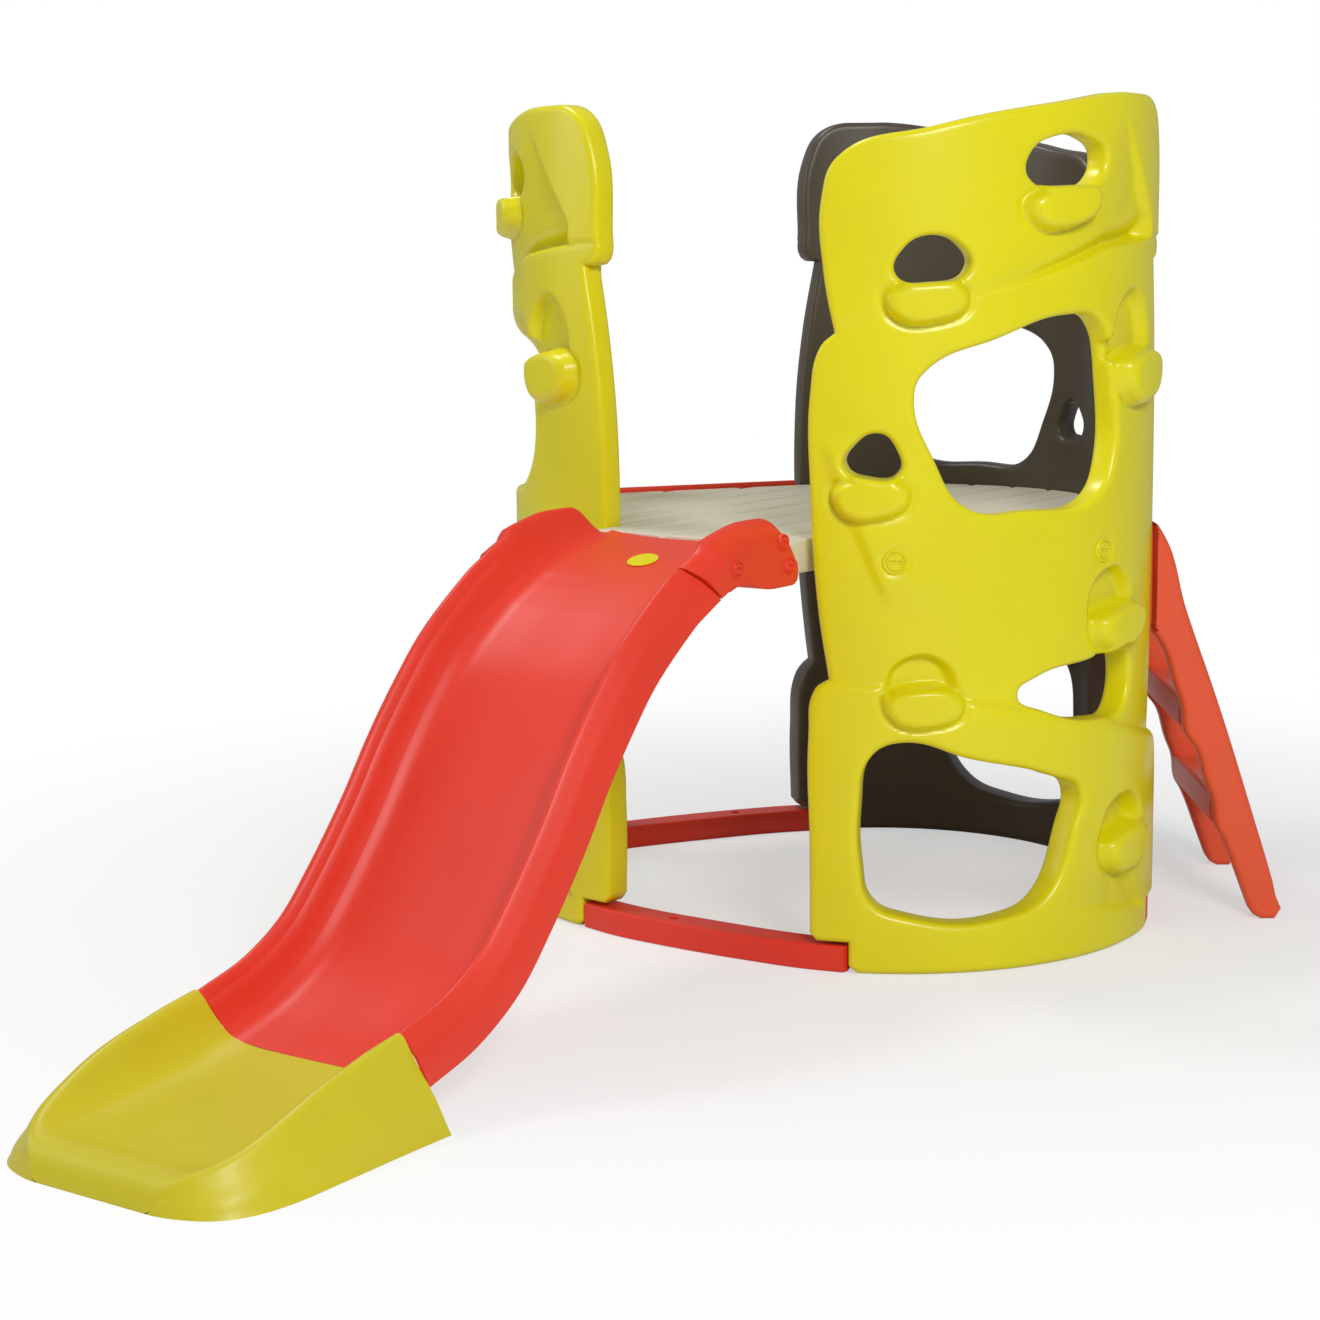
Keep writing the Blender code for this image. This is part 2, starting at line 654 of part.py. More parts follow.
def lip_section(depth):
    """Chute section as (side, height over the bed) with its lips and skirts."""
    top = [(0.0, 0.0), (0.106, 0.002), (0.145, 0.14 * depth), (0.168, 0.52 * depth), (0.181, depth - 0.006),
           (CREST_HALF, depth), (0.199, depth - 0.003), (0.219, depth - 0.030), (SKIRT_HALF, -0.002)]
    low = [(SKIRT_HALF - 0.005, -0.002), (0.2135, depth - 0.033), (0.196, depth - 0.010),
           (0.186, depth - 0.011), (0.163, 0.48 * depth), (0.1405, 0.05 * depth), (0.104, -0.004),
           (0.0, -BED_THICKNESS)]
    return mirrored(top, low)


def tongue_section(half=TONGUE_HALF, grown=0.0):
    """Flat section with as many points as the lip section."""
    deep = BED_THICKNESS + grown
    top = [(0.0, grown), (0.106, grown), (0.145, grown), (half - 0.004, grown), (half - 0.001, grown),
           (half, grown - 0.0008), (half, -0.0016), (half, -0.0024), (half, -0.0032)]
    low = [(half, -0.0042), (half, -0.0052), (half - 0.0008, -deep), (half - 0.0018, -deep),
           (half - 0.006, -deep), (0.1405, -deep), (0.104, -deep), (0.0, -deep)]
    return mirrored(top, low)


def path_ring(sample, section):
    """Place a section square to the path."""
    point, slope = sample
    up = Vector((-slope.y, slope.x))
    return [(point.x + up.x * height, side, point.y + up.y * height) for side, height in section]


def bed_at(out):
    """Bed point and slope of the path at a distance out."""
    return min(BED_SAMPLES, key=lambda sample: abs(sample[0].x - out))


def seam_ring(section, back):
    """Place a section on the slanted seam plane, moved back towards the tower."""
    foot = Vector(SEAM_FOOT)
    along = (Vector(SEAM_HEAD) - foot).normalized()
    across = Vector((along.y, -along.x))
    ring = []
    for side, height in section:
        rows = []
        for point, slope in BED_SAMPLES[:260]:
            spot = point + Vector((-slope.y, slope.x)) * height
            rows.append(((spot - foot).dot(across) + back, spot))
        low, high = next((a, b) for a, b in zip(rows, rows[1:]) if a[0] <= 0.0 < b[0])
        spot = low[1].lerp(high[1], -low[0] / (high[0] - low[0]))
        ring.append((spot.x, side, spot.y))
    return ring


def tongue_rings(grown, half):
    """Rings of the tongue from its curved edge on the platform to the seam."""
    flat = (Vector((0.0, 0.0)), Vector((1.0, TONGUE_LINE[2])).normalized())
    rings = []
    for reach in (None, 0.600):
        ring = []
        for side, height in tongue_section(half, grown):
            out = reach or math.sqrt(TONGUE_EDGE_RADIUS ** 2 - side ** 2)
            up = Vector((-flat[1].y, flat[1].x)) * height
            ring.append((out + up.x, side, tongue_height(out) + up.y))
        rings.append(ring)
    for out in (0.640, 0.671, 0.702, 0.733):
        rings.append(path_ring(bed_at(out), tongue_section(half, grown)))
    return rings


def build_chute():
    """Chute: a flat tongue on the platform's nose, then a lipped bed down to the foot."""
    rings = tongue_rings(0.0, TONGUE_HALF)
    rings.append(seam_ring(tongue_section(), 0.0012))
    rings.append(seam_ring(lip_section(LIP_DEPTH[0][1]), 0.0))
    rows = [sample for sample in spline_points(BED_PATH, 33) if sample[0].x > 0.840]
    for sample in rows:
        rings.append(path_ring(sample, lip_section(value_at(LIP_DEPTH, sample[0].x))))
    chute = add_object("slide_chute", loft_mesh("slide_chute", rings, True), paint=RED)
    smooth(chute, 30.0)
    return chute


def bed_place(out, side, height):
    """Frame on the bed: Z along its normal, X down the slide."""
    point, slope = bed_at(out)
    up = Vector((-slope.y, slope.x))
    spot = point + up * height
    columns = [(slope.x, 0.0, slope.y), (0.0, 1.0, 0.0), (up.x, 0.0, up.y), (spot.x, side, spot.y)]
    place = Matrix.Identity(4)
    for row in range(3):
        for column in range(4):
            place[row][column] = columns[column][row]
    return place


CHUTE = build_chute()

# Foot: values along its length, measured on the bed
FOOT_BED = [(CHUTE_END, 0.0698), (1.560, 0.0560), (1.630, 0.0460), (1.700, 0.0400), (1.780, 0.0365),
            (1.825, 0.0345), (1.860, 0.0260), (1.890, 0.0150), (FOOT_END, 0.0050)]
FOOT_CREST = [(CHUTE_END, 0.1462), (1.600, 0.1320), (1.680, 0.1170), (1.740, 0.0940), (1.780, 0.0730),
              (1.820, 0.0500), (1.850, 0.0360), (1.880, 0.0210), (1.905, 0.0105), (FOOT_END, 0.0054)]
FOOT_CREST_HALF = [(1.700, CREST_HALF), (1.780, 0.176), (1.830, 0.152), (1.880, 0.118), (FOOT_END, 0.045)]
FOOT_HALF = [(CHUTE_END, 0.248), (1.560, 0.252), (1.690, 0.253), (1.800, 0.243), (1.855, 0.226), (1.885, 0.196),
             (1.903, 0.156), (1.912, 0.112), (FOOT_END, 0.060)]
FOOT_OUTS = (CHUTE_END + 0.0007, 1.540, 1.590, 1.640, 1.690, 1.735, 1.775, 1.810, 1.840, 1.865, 1.885, 1.900, 1.910,
             FOOT_END)
FOOT_WALL = 0.005


def foot_ring(out):
    """Closed section of the slide's foot, leaning back like the chute's end at first."""
    bed = value_at(FOOT_BED, out)
    crest = value_at(FOOT_CREST, out)
    half = value_at(FOOT_HALF, out)
    inner = value_at(FOOT_CREST_HALF, out)
    rise = crest - bed
    flare = half - inner
    top = [(0.0, bed), (0.56 * inner, bed + 0.02 * rise), (0.763 * inner, bed + 0.14 * rise),
           (0.884 * inner, bed + 0.52 * rise), (0.953 * inner, bed + 0.92 * rise), (inner, crest),
           (inner + 0.009, crest * 0.975), (inner + 0.52 * flare, 0.66 * crest),
           (half - 0.006, 0.16 * crest), (half, 0.0)]
    low = [(half - FOOT_WALL, 0.0), (half - 0.006 - FOOT_WALL, 0.12 * crest),
           (inner + 0.47 * flare - FOOT_WALL, 0.58 * crest), (inner + 0.003, 0.85 * crest),
           (0.94 * inner, 0.82 * crest), (0.85 * inner, 0.80 * bed + 0.38 * rise),
           (0.73 * inner, 0.62 * bed + 0.06 * rise), (0.54 * inner, 0.60 * bed), (0.0, 0.58 * bed)]
    slope = BED_SAMPLES[-1][1]
    lean = -slope.y / slope.x * max(0.0, (1.62 - out) / (1.62 - CHUTE_END))
    return [(out + lean * (height - bed), side, height) for side, height in mirrored(top, low)]


def build_foot():
    """Flared run-out, with a shelf that reaches back under the chute's end."""
    mesh = loft_mesh("slide_foot", [foot_ring(out) for out in FOOT_OUTS], True)
    foot = add_object("slide_foot", mesh, paint=LIME)
    shelf_section = [(-0.120, -0.0068), (0.120, -0.0068), (0.120, -0.0108), (-0.120, -0.0108)]
    rings = [path_ring(bed_at(out), shelf_section) for out in (1.450, 1.473, CHUTE_END)]
    point, slope = BED_SAMPLES[-1]
    rings.append(path_ring((point + slope * 0.025, slope), shelf_section))
    boolean(foot, add_object("foot_shelf", loft_mesh("foot_shelf", rings), collection=CUTTERS), "UNION")
    smooth(foot, 30.0)
    return foot


FOOT = build_foot()
FOOT_SCREW = fastener_mesh("foot_screw", 0.006, 0.003, 0.002, 0.0085, False, 10)
FOOT_SCREW_BORE = bore_mesh("foot_screw_bore", 0.002 + CLEAR, -0.0085 - CLEAR, 0.004)
for side, label in ((0.09, "left"), (-0.09, "right")):
    seat = bed_place(1.464, side, -0.0108 - CLEAR) @ Matrix.Rotation(math.pi, 4, "X")
    add_object(f"foot_screw_{label}", FOOT_SCREW.copy(), seat, GREY)
    for made, tag in ((CHUTE, "chute"), (FOOT, "foot")):
        boolean(made, add_object(f"{tag}_screw_bore_{label}", FOOT_SCREW_BORE, seat, collection=CUTTERS))

# Water outlet: a disc with a stem in the bed, and a hose spigot clamped beneath
plug_place = bed_place(OUTLET_AT, 0.0, 0.0009)
plug_profile = [(0.0, 0.0018), (0.0165, 0.0026), (OUTLET_RADIUS - 0.002, 0.0026), (OUTLET_RADIUS, 0.0012),
                (OUTLET_RADIUS, 0.0), (OUTLET_STEM, 0.0), (OUTLET_STEM, -OUTLET_STEM_LENGTH),
                (0.0, -OUTLET_STEM_LENGTH)]
add_object("water_plug", lathe_mesh("water_plug", plug_profile, 20), plug_place, LIME)
stem_bore = bore_mesh("outlet_bore", OUTLET_STEM + CLEAR, -0.03, 0.01)
boolean(CHUTE, add_object("outlet_bore", stem_bore, plug_place, collection=CUTTERS))
spigot_profile = [
    (OUTLET_STEM + CLEAR, -0.0082), (0.020, -0.0082), (0.020, -0.0112), (0.0112, -0.0112), (0.0112, -0.026),
    (0.0125, -0.026), (0.0108, -0.034), (OUTLET_STEM + CLEAR, -0.034), (OUTLET_STEM + CLEAR, -0.0082),
]
add_object("hose_spigot", lathe_mesh("hose_spigot", spigot_profile, 16), plug_place, GREY)

# Brackets: cheeks beside the tongue that carry the top of the slide
BRACKET_LINE = [
    (0.5625, 0.700), (0.5625, 0.668), (0.570, 0.658), (0.588, 0.655), (0.629, 0.655), (0.675, 0.660),
    (0.705, 0.669), (0.727, 0.670), (0.752, 0.664),
]
BRACKET_TOP = [
    (0.786, 0.7405), (0.737, 0.755), (0.674, 0.7655), (0.626, 0.766), (0.590, 0.757), (0.571, 0.737),
]
BRACKET_TOP_OUTER = [
    (0.778, 0.7230), (0.735, 0.738), (0.674, 0.749), (0.628, 0.749), (0.600, 0.743), (0.577, 0.726),
]
BRACKET_SCREWS = [(0.601, 0.727), (0.584, 0.688), (0.733, 0.698)]
BRACKET_SHANKS = (0.040, 0.085, 0.040)


def build_bracket(name, hand):
    """One cheek; hand is +1 on the left of the slide's direction and -1 on the right."""
    along = (Vector(SEAM_HEAD) - Vector(SEAM_FOOT)).normalized()
    back = Vector((-along.y, along.x)) * 0.0022
    foot = Vector(SEAM_FOOT) + back
    head = Vector(SEAM_HEAD) + back
    head_outer = foot.lerp(head, 0.78)
    inner = BRACKET_LINE + [tuple(foot), tuple(head)] + BRACKET_TOP
    outer = BRACKET_LINE + [tuple(foot), tuple(head_outer)] + BRACKET_TOP_OUTER
    rings = []
    for side, line in ((BRACKET_INNER, inner), (0.203, inner), (BRACKET_OUTER, outer)):
        rings.append([(out, hand * side, height) for out, height in line])
    cheek = add_object(name, loft_mesh(name, rings), paint=RED)
    groove_rings = tongue_rings(CLEAR, TONGUE_HALF + CLEAR)
    groove_rings.append(seam_ring(tongue_section(TONGUE_HALF + CLEAR, CLEAR), -0.0005))
    groove = loft_mesh(name + "_groove", groove_rings, True)
    boolean(cheek, add_object(name + "_groove", groove, collection=CUTTERS))
    return cheek


def bracket_screw_place(hand, out, height):
    """Frame of a bracket screw, its head on the outer face."""
    place = Matrix.Translation((out, hand * BRACKET_OUTER, height))
    return place @ Matrix.Rotation(math.radians(-90 * hand), 4, "X")


for hand, label in ((1, "left"), (-1, "right")):
    cheek = build_bracket(f"slide_bracket_{label}", hand)
    for index, ((out, height), shank) in enumerate(zip(BRACKET_SCREWS, BRACKET_SHANKS)):
        mesh = fastener_mesh("bracket_screw", 0.0115, 0.0022, 0.004, shank)
        bore = lathe_mesh("bracket_screw_bore", [
            (0.0, 0.02), (0.0115 + CLEAR, 0.02), (0.0115 + CLEAR, 0.0), (0.004 + CLEAR, 0.0),
            (0.004 + CLEAR, -shank - CLEAR), (0.0, -shank - CLEAR)], 12)
        seat = bracket_screw_place(hand, out, height) @ Matrix.Translation((0, 0, -0.0012 + CLEAR))
        hole = bracket_screw_place(hand, out, height) @ Matrix.Translation((0, 0, -0.0012))
        add_object(f"bracket_screw_{label}_{index + 1}", mesh, seat, RED)
        cutter = add_object(f"bracket_bore_{label}_{index + 1}", bore, hole, collection=CUTTERS)
        boolean(cheek, cutter)
        if shank > 0.05:
            boolean(PLATFORM, cutter)

# Red trim along the open rear edge of the platform
trim_place = turned(REAR_TURN)
trim_mesh = box_mesh("rear_edge_trim", (0.013, 0.380, 0.062), (0.5007, 0.0945, 0.698))
trim = add_object("rear_edge_trim", trim_mesh, trim_place, RED)
trim_bevel = trim.modifiers.new("rounded edges", "BEVEL")
trim_bevel.width = 0.003
trim_bevel.segments = 2

# Ladder
STRINGER_LINE = [
    (0.4580, 0.7155, "c"), (0.505, 0.7155), (0.5225, 0.699), (0.570, 0.555), (0.632, 0.381), (0.695, 0.187),
    (0.7315, 0.071), (0.743, 0.030), (0.756, 0.0120), (0.778, 0.0085), (0.782, 0.004), (0.780, 0.0, "c"),
    (0.705, 0.0, "c"), (0.694, 0.014), (0.683, 0.040), (0.671, 0.072), (0.641, 0.148), (0.6295, 0.168),
    (0.622, 0.216), (0.608, 0.253), (0.591, 0.309), (0.571, 0.338), (0.564, 0.386), (0.550, 0.427),
    (0.528, 0.493), (0.508, 0.519), (0.478, 0.532), (0.4580, 0.560, "c"),
]
STRINGER_SLOPE = (0.7315 - 0.5225) / (0.699 - 0.071)


def step_centre(top):
    """Middle of a step's section on the ladder's slope."""
    middle = top - STEP_HEIGHT / 2
    return 0.5225 + STRINGER_SLOPE * (0.699 - middle) - STEP_SETBACK, middle


def step_section(top, tenon, grown=0.0):
    """Section of a step, or of its tenon, as (out, height)."""
    out, middle = step_centre(top)
    if tenon:
        shape = [(-0.015, 0.010), (-0.013, 0.012), (-0.008, 0.012), (0.0, 0.012), (0.013, 0.012),
                 (0.015, 0.010), (0.015, -0.010), (0.013, -0.012), (-0.013, -0.012), (-0.015, -0.010)]
        scale = 1 + grown / 0.012
        return [(out + x * scale, middle + z * scale) for x, z in shape]
    shape = [(-0.030, 0.022), (-0.027, 0.026), (-0.018, 0.026), (-0.012, 0.023), (0.026, 0.023),
             (0.030, 0.019), (0.030, -0.019), (0.026, -0.023), (-0.026, -0.023), (-0.030, -0.019)]
    return [(out + x, middle + z) for x, z in shape]


def across_mesh(name, stations):
    """Loft across the ladder from (side, section) stations."""
    return loft_mesh(name, [[(out, side, height) for out, height in section] for side, section in stations])


LADDER_PLACE = turned(LADDER_TURN)
inner_face = STRINGER_OUTER - STRINGER_THICKNESS
stand = Matrix.Rotation(math.radians(90), 4, "X")
for hand, label in ((1, "rear"), (-1, "front")):
    shift = Matrix.Translation((0, hand * (STRINGER_OUTER - STRINGER_THICKNESS / 2), 0))
    outline = outline_mesh("ladder_stringer", [STRINGER_LINE], STRINGER_THICKNESS)
    stringer = add_object(f"ladder_stringer_{label}", outline, LADDER_PLACE @ shift @ stand, ORANGE)
    for number, top in enumerate(STEP_TOPS):
        sides = (inner_face - 0.01, inner_face + TENON_LENGTH)
        mortise = across_mesh("mortise", [(hand * side, step_section(top, True, CLEAR)) for side in sides])
        boolean(stringer, add_object(f"mortise_{label}_{number}", mortise, LADDER_PLACE, collection=CUTTERS))
    rebate = box_mesh("wall_rebate", (0.120, 0.040, 0.800), (WALL_END_OUT - 0.060, hand * (WALL_END_HALF + 0.020), 0.5))
    boolean(stringer, add_object(f"wall_rebate_{label}", rebate, LADDER_PLACE, collection=CUTTERS))
    peg = screw_hole(f"toe_hole_{label}", Vector((0.768, hand * 0.2055, 0.0)), 0.004, -0.01, 0.02)
    peg.matrix_basis = LADDER_PLACE @ peg.matrix_basis
    boolean(stringer, peg)
    bolt = fastener_mesh("ladder_bolt", 0.010, 0.005, 0.004, 0.072)
    seat_place = LADDER_PLACE @ Matrix.Translation((0.5075, hand * 0.1925, 0.690)) @ Matrix.Rotation(math.radians(90), 4, "Y")
    bolt_bore = lathe_mesh("ladder_bolt_bore", [
        (0.0, 0.04), (0.010 + CLEAR, 0.04), (0.010 + CLEAR, -CLEAR), (0.004 + CLEAR, -CLEAR),
        (0.004 + CLEAR, -0.072 - CLEAR), (0.0, -0.072 - CLEAR)], 12)
    add_object(f"ladder_bolt_{label}", bolt, seat_place, GREY)
    cutter = add_object(f"ladder_bolt_bore_{label}", bolt_bore, seat_place, collection=CUTTERS)
    boolean(stringer, cutter)
    boolean(PLATFORM, cutter)
    smooth(stringer, 30.0)

for number, top in enumerate(STEP_TOPS):
    edge = inner_face - CLEAR
    tip = inner_face + TENON_LENGTH - CLEAR
    stations = [
        (-tip, step_section(top, True)), (-edge, step_section(top, True)), (-edge, step_section(top, False)),
        (edge, step_section(top, False)), (edge, step_section(top, True)), (tip, step_section(top, True)),
    ]
    add_object(f"ladder_step_{number + 1}", across_mesh("ladder_step", stations), LADDER_PLACE, ORANGE)
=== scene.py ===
"""Looks of the climbing tower: moulded plastic walls, platform, slide and ladder."""
import math

import bpy
import numpy as np
from mathutils import Matrix, Vector


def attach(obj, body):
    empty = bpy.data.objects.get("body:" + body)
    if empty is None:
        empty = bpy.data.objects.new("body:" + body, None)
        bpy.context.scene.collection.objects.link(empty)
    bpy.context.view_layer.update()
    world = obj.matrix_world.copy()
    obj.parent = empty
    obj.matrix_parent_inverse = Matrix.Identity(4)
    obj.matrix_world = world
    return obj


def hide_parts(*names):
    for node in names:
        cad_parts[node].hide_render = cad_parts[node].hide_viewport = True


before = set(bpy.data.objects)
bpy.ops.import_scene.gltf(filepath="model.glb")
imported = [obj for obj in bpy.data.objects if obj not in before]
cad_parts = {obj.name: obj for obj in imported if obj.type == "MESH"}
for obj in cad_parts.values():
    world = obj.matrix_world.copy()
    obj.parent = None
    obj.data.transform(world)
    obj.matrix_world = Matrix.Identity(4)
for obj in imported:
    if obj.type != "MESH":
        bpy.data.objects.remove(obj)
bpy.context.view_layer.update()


# Camera
# The photograph was taken from in front of the slide's foot, a little above the platform's height,
# with a long lens that leans slightly to one side.
CAMERA_PLACE = (3.4267, 2.3873, 1.184)
LENS_PIXELS, FRAME_PIXELS, SENSOR = 2588.2, 1320, 36.0
turn, pitch, lean = np.radians([215.31, -8.909, -0.606])
forward = Vector((math.cos(turn) * math.cos(pitch), math.sin(turn) * math.cos(pitch), math.sin(pitch)))
level = Vector((math.sin(turn), -math.cos(turn), 0.0))
upright = level.cross(forward)
right = level * math.cos(lean) + upright * math.sin(lean)
above = upright * math.cos(lean) - level * math.sin(lean)
camera = bpy.data.objects.new("photo_camera", bpy.data.cameras.new("photo_camera"))
camera.data.sensor_width = SENSOR
camera.data.lens = LENS_PIXELS / FRAME_PIXELS * SENSOR
camera.matrix_world = Matrix((
    (right.x, above.x, -forward.x, CAMERA_PLACE[0]),
    (right.y, above.y, -forward.y, CAMERA_PLACE[1]),
    (right.z, above.z, -forward.z, CAMERA_PLACE[2]),
    (0.0, 0.0, 0.0, 1.0)))
bpy.context.scene.collection.objects.link(camera)
bpy.context.scene.camera = camera
bpy.context.scene.view_settings.view_transform = "Standard"


# Daylight studio
# A white room: one broad soft lamp high on the right of the camera, a weaker one on its left, one
# overhead, and a white floor that keeps the tower's soft shadow near it and none farther off.
def linear(hex_colour):
    """Linear values of an sRGB hex colour: each channel below 0.04045 is divided by 12.92, the rest
    are raised to the power 2.4 after the offset."""
    channel = np.array([int(hex_colour[i:i + 2], 16) for i in (1, 3, 5)]) / 255
    low = channel / 12.92
    high = ((channel + 0.055) / 1.055) ** 2.4
    return (*np.where(channel <= 0.04045, low, high), 1.0)


def add_node(tree, kind, settings=None, links=None, **values):
    """Add a node with its settings, its socket values by name, and links into its sockets."""
    made = tree.nodes.new(kind)
    for key, value in (settings or {}).items():
        setattr(made, key, value)
    for key, value in values.items():
        made.inputs[key.replace("_", " ")].default_value = value
    for key, source in (links or {}).items():
        tree.links.new(source, made.inputs[key])
    return made


def blank_material(name):
    """A material with an empty node tree and its output node."""
    made = bpy.data.materials.new(name)
    made.use_nodes = True
    made.node_tree.nodes.clear()
    return made, made.node_tree, made.node_tree.nodes.new("ShaderNodeOutputMaterial")


def soft_lamp(name, place, target, size, power):
    """Square white area lamp at a place, turned towards a target."""
    lamp = bpy.data.lights.new(name, "AREA")
    lamp.size = size
    lamp.energy = power
    holder = bpy.data.objects.new(name, lamp)
    holder.location = place
    holder.rotation_euler = (Vector(target) - Vector(place)).to_track_quat("-Z", "Y").to_euler()
    bpy.context.scene.collection.objects.link(holder)


soft_lamp("key_lamp", (2.6, 3.3, 3.2), (-0.4, 0.0, 0.6), 1.2, 122.0)
soft_lamp("left_lamp", (1.8, -3.6, 2.2), (-0.3, 0.0, 0.5), 2.0, 24.0)
soft_lamp("top_lamp", (-0.2, -1.7, 4.6), (-0.3, 0.0, 0.4), 0.8, 58.0)

world = bpy.data.worlds.new("white_room")
world.use_nodes = True
bpy.context.scene.world = world
sky = world.node_tree
sky.nodes.clear()
path = add_node(sky, "ShaderNodeLightPath")
seen = add_node(sky, "ShaderNodeMath", {"operation": "MAXIMUM"},
                {0: path.outputs["Is Camera Ray"], 1: path.outputs["Is Transmission Ray"]})
room = add_node(sky, "ShaderNodeBackground", Color=linear("#F4F6F8"), Strength=0.38)
backdrop = add_node(sky, "ShaderNodeBackground", Color=(1.0, 1.0, 1.0, 1.0), Strength=1.0)
choice = add_node(sky, "ShaderNodeMixShader",
                  links={0: seen.outputs[0], 1: room.outputs[0], 2: backdrop.outputs[0]})
add_node(sky, "ShaderNodeOutputWorld", links={"Surface": choice.outputs[0]})

# The tower's axis in plan: most pieces are measured from it, with x running out along the slide.
AXIS = np.array([-0.6453, -0.0537, 0.0])

floor_mesh = bpy.data.meshes.new("studio_floor")
reach = 14.0
floor_mesh.from_pydata([(-reach, -reach, 0), (reach, -reach, 0), (reach, reach, 0), (-reach, reach, 0)],
                       [], [(0, 1, 2, 3)])
floor = bpy.data.objects.new("studio_floor", floor_mesh)
bpy.context.scene.collection.objects.link(floor)
floor_paint, tree, output = blank_material("white_floor_paint")
shadowed = add_node(tree, "ShaderNodeBsdfDiffuse", Color=(0.90, 0.89, 0.885, 1.0))
lit = add_node(tree, "ShaderNodeEmission", Color=(1.0, 1.0, 1.0, 1.0), Strength=1.0)
# The camera sees the floor half lit by itself within 0.6 m of the axis and plain white beyond 2.5 m.
spot = add_node(tree, "ShaderNodeTexCoord").outputs["Object"]
from_tower = add_node(tree, "ShaderNodeVectorMath", {"operation": "SUBTRACT"}, {0: spot})
from_tower.inputs[1].default_value = AXIS
away = add_node(tree, "ShaderNodeVectorMath", {"operation": "LENGTH"},
                {"Vector": from_tower.outputs["Vector"]})
share = add_node(tree, "ShaderNodeMapRange", {"interpolation_type": "SMOOTHSTEP"},
                 {"Value": away.outputs["Value"]}, From_Min=0.6, From_Max=2.5, To_Min=0.50, To_Max=1.0)
path = add_node(tree, "ShaderNodeLightPath")
seen = add_node(tree, "ShaderNodeMath", {"operation": "MULTIPLY"},
                {0: path.outputs["Is Camera Ray"], 1: share.outputs["Result"]})
both = add_node(tree, "ShaderNodeMixShader",
                links={0: seen.outputs[0], 1: shadowed.outputs[0], 2: lit.outputs[0]})
tree.links.new(both.outputs[0], output.inputs["Surface"])
floor_mesh.materials.append(floor_paint)


# Curved climbing walls
# Three blow-moulded panels off one mould, two lime and one brown. Each is a curved shell 50 mm thick
# that looks like three stacked rocks, with windows, hand holes and bulging grips.
def moulded_plastic(name, colour, roughness):
    """Polyethylene or nylon as it leaves the mould: a waxy half gloss, a base colour that drifts by 3 in
    100 over a piece, and the mould's sandblasted grain as a bump of 0.18 mm that the roughness follows.
    A real pebble is some 0.5 mm wide; it is drawn at 2.2 mm so that it shows."""
    drift, grain, depth = 0.03, 0.0022, 0.00018
    made, tree, output = blank_material(name)
    place = add_node(tree, "ShaderNodeTexCoord").outputs["Object"]
    cloud = add_node(tree, "ShaderNodeTexNoise", links={"Vector": place},
                     Scale=5.0, Detail=3.0, Roughness=0.55)
    shade = add_node(tree, "ShaderNodeMapRange", links={"Value": cloud.outputs["Fac"]},
                     From_Min=0.3, From_Max=0.7, To_Min=1 - drift, To_Max=1 + drift)
    tint = add_node(tree, "ShaderNodeVectorMath", {"operation": "SCALE"}, {"Scale": shade.outputs["Result"]})
    tint.inputs[0].default_value = linear(colour)[:3]
    pebble = add_node(tree, "ShaderNodeTexNoise", links={"Vector": place}, Scale=1 / grain, Detail=2.0)
    gloss = add_node(tree, "ShaderNodeMapRange", links={"Value": pebble.outputs["Fac"]},
                     To_Min=roughness - 0.05, To_Max=roughness + 0.05)
    bump = add_node(tree, "ShaderNodeBump", links={"Height": pebble.outputs["Fac"]},
                    Strength=0.5, Distance=depth)
    shader = add_node(tree, "ShaderNodeBsdfPrincipled", IOR=1.5, links={
        "Base Color": tint.outputs["Vector"], "Roughness": gloss.outputs["Result"],
        "Normal": bump.outputs["Normal"]})
    tree.links.new(shader.outputs[0], output.inputs["Surface"])
    return made


# The lime walls are the glossiest, with broad bright highlights; the brown one is a little duller.
LIME = moulded_plastic("lime_polyethylene", "#E4DA06", 0.31)
BROWN = moulded_plastic("brown_polyethylene", "#4B4236", 0.38)
WALL_FINISH = {"front": (LIME, "lime_plastic"), "left": (LIME, "lime_plastic"),
               "rear": (BROWN, "dark_brown_plastic")}
# The outer face's arc, the wall's thickness and its highest point, then the bolts along it and their height
WALL_RADIUS, WALL_THICK, WALL_TOP = 0.460, 0.050, 1.4392
WALL_BOLTS, BOLT_LEVEL = {"a": -0.253, "b": 0.147}, 0.688


def closed_curve(knots, per_span=10):
    """Closed outline through knots: cubic spans whose handles follow the bisector of the two sides at
    a knot, with length 0.39 of the side; a knot with a third value is a corner."""
    points = np.array([k[:2] for k in knots], float)
    corner = np.array([len(k) == 3 for k in knots])[:, None]
    before, after = np.roll(points, 1, 0), np.roll(points, -1, 0)
    back = np.linalg.norm(points - before, axis=1, keepdims=True)
    ahead = np.linalg.norm(after - points, axis=1, keepdims=True)
    bisector = (points - before) / back + (after - points) / ahead
    bisector /= np.maximum(np.linalg.norm(bisector, axis=1, keepdims=True), 1e-9)
    leave = np.where(corner, (after - points) / 3, bisector * ahead / 2.5614)
    arrive = np.where(corner, (before - points) / 3, -bisector * back / 2.5614)
    t = np.linspace(0, 1, per_span, endpoint=False)[None, :, None]
    a, b = points[:, None], (points + leave)[:, None]
    c, d = (after + np.roll(arrive, -1, 0))[:, None], after[:, None]
    line = a * (1 - t) ** 3 + 3 * b * t * (1 - t) ** 2 + 3 * c * t ** 2 * (1 - t) + d * t ** 3
    return line.reshape(-1, 2)


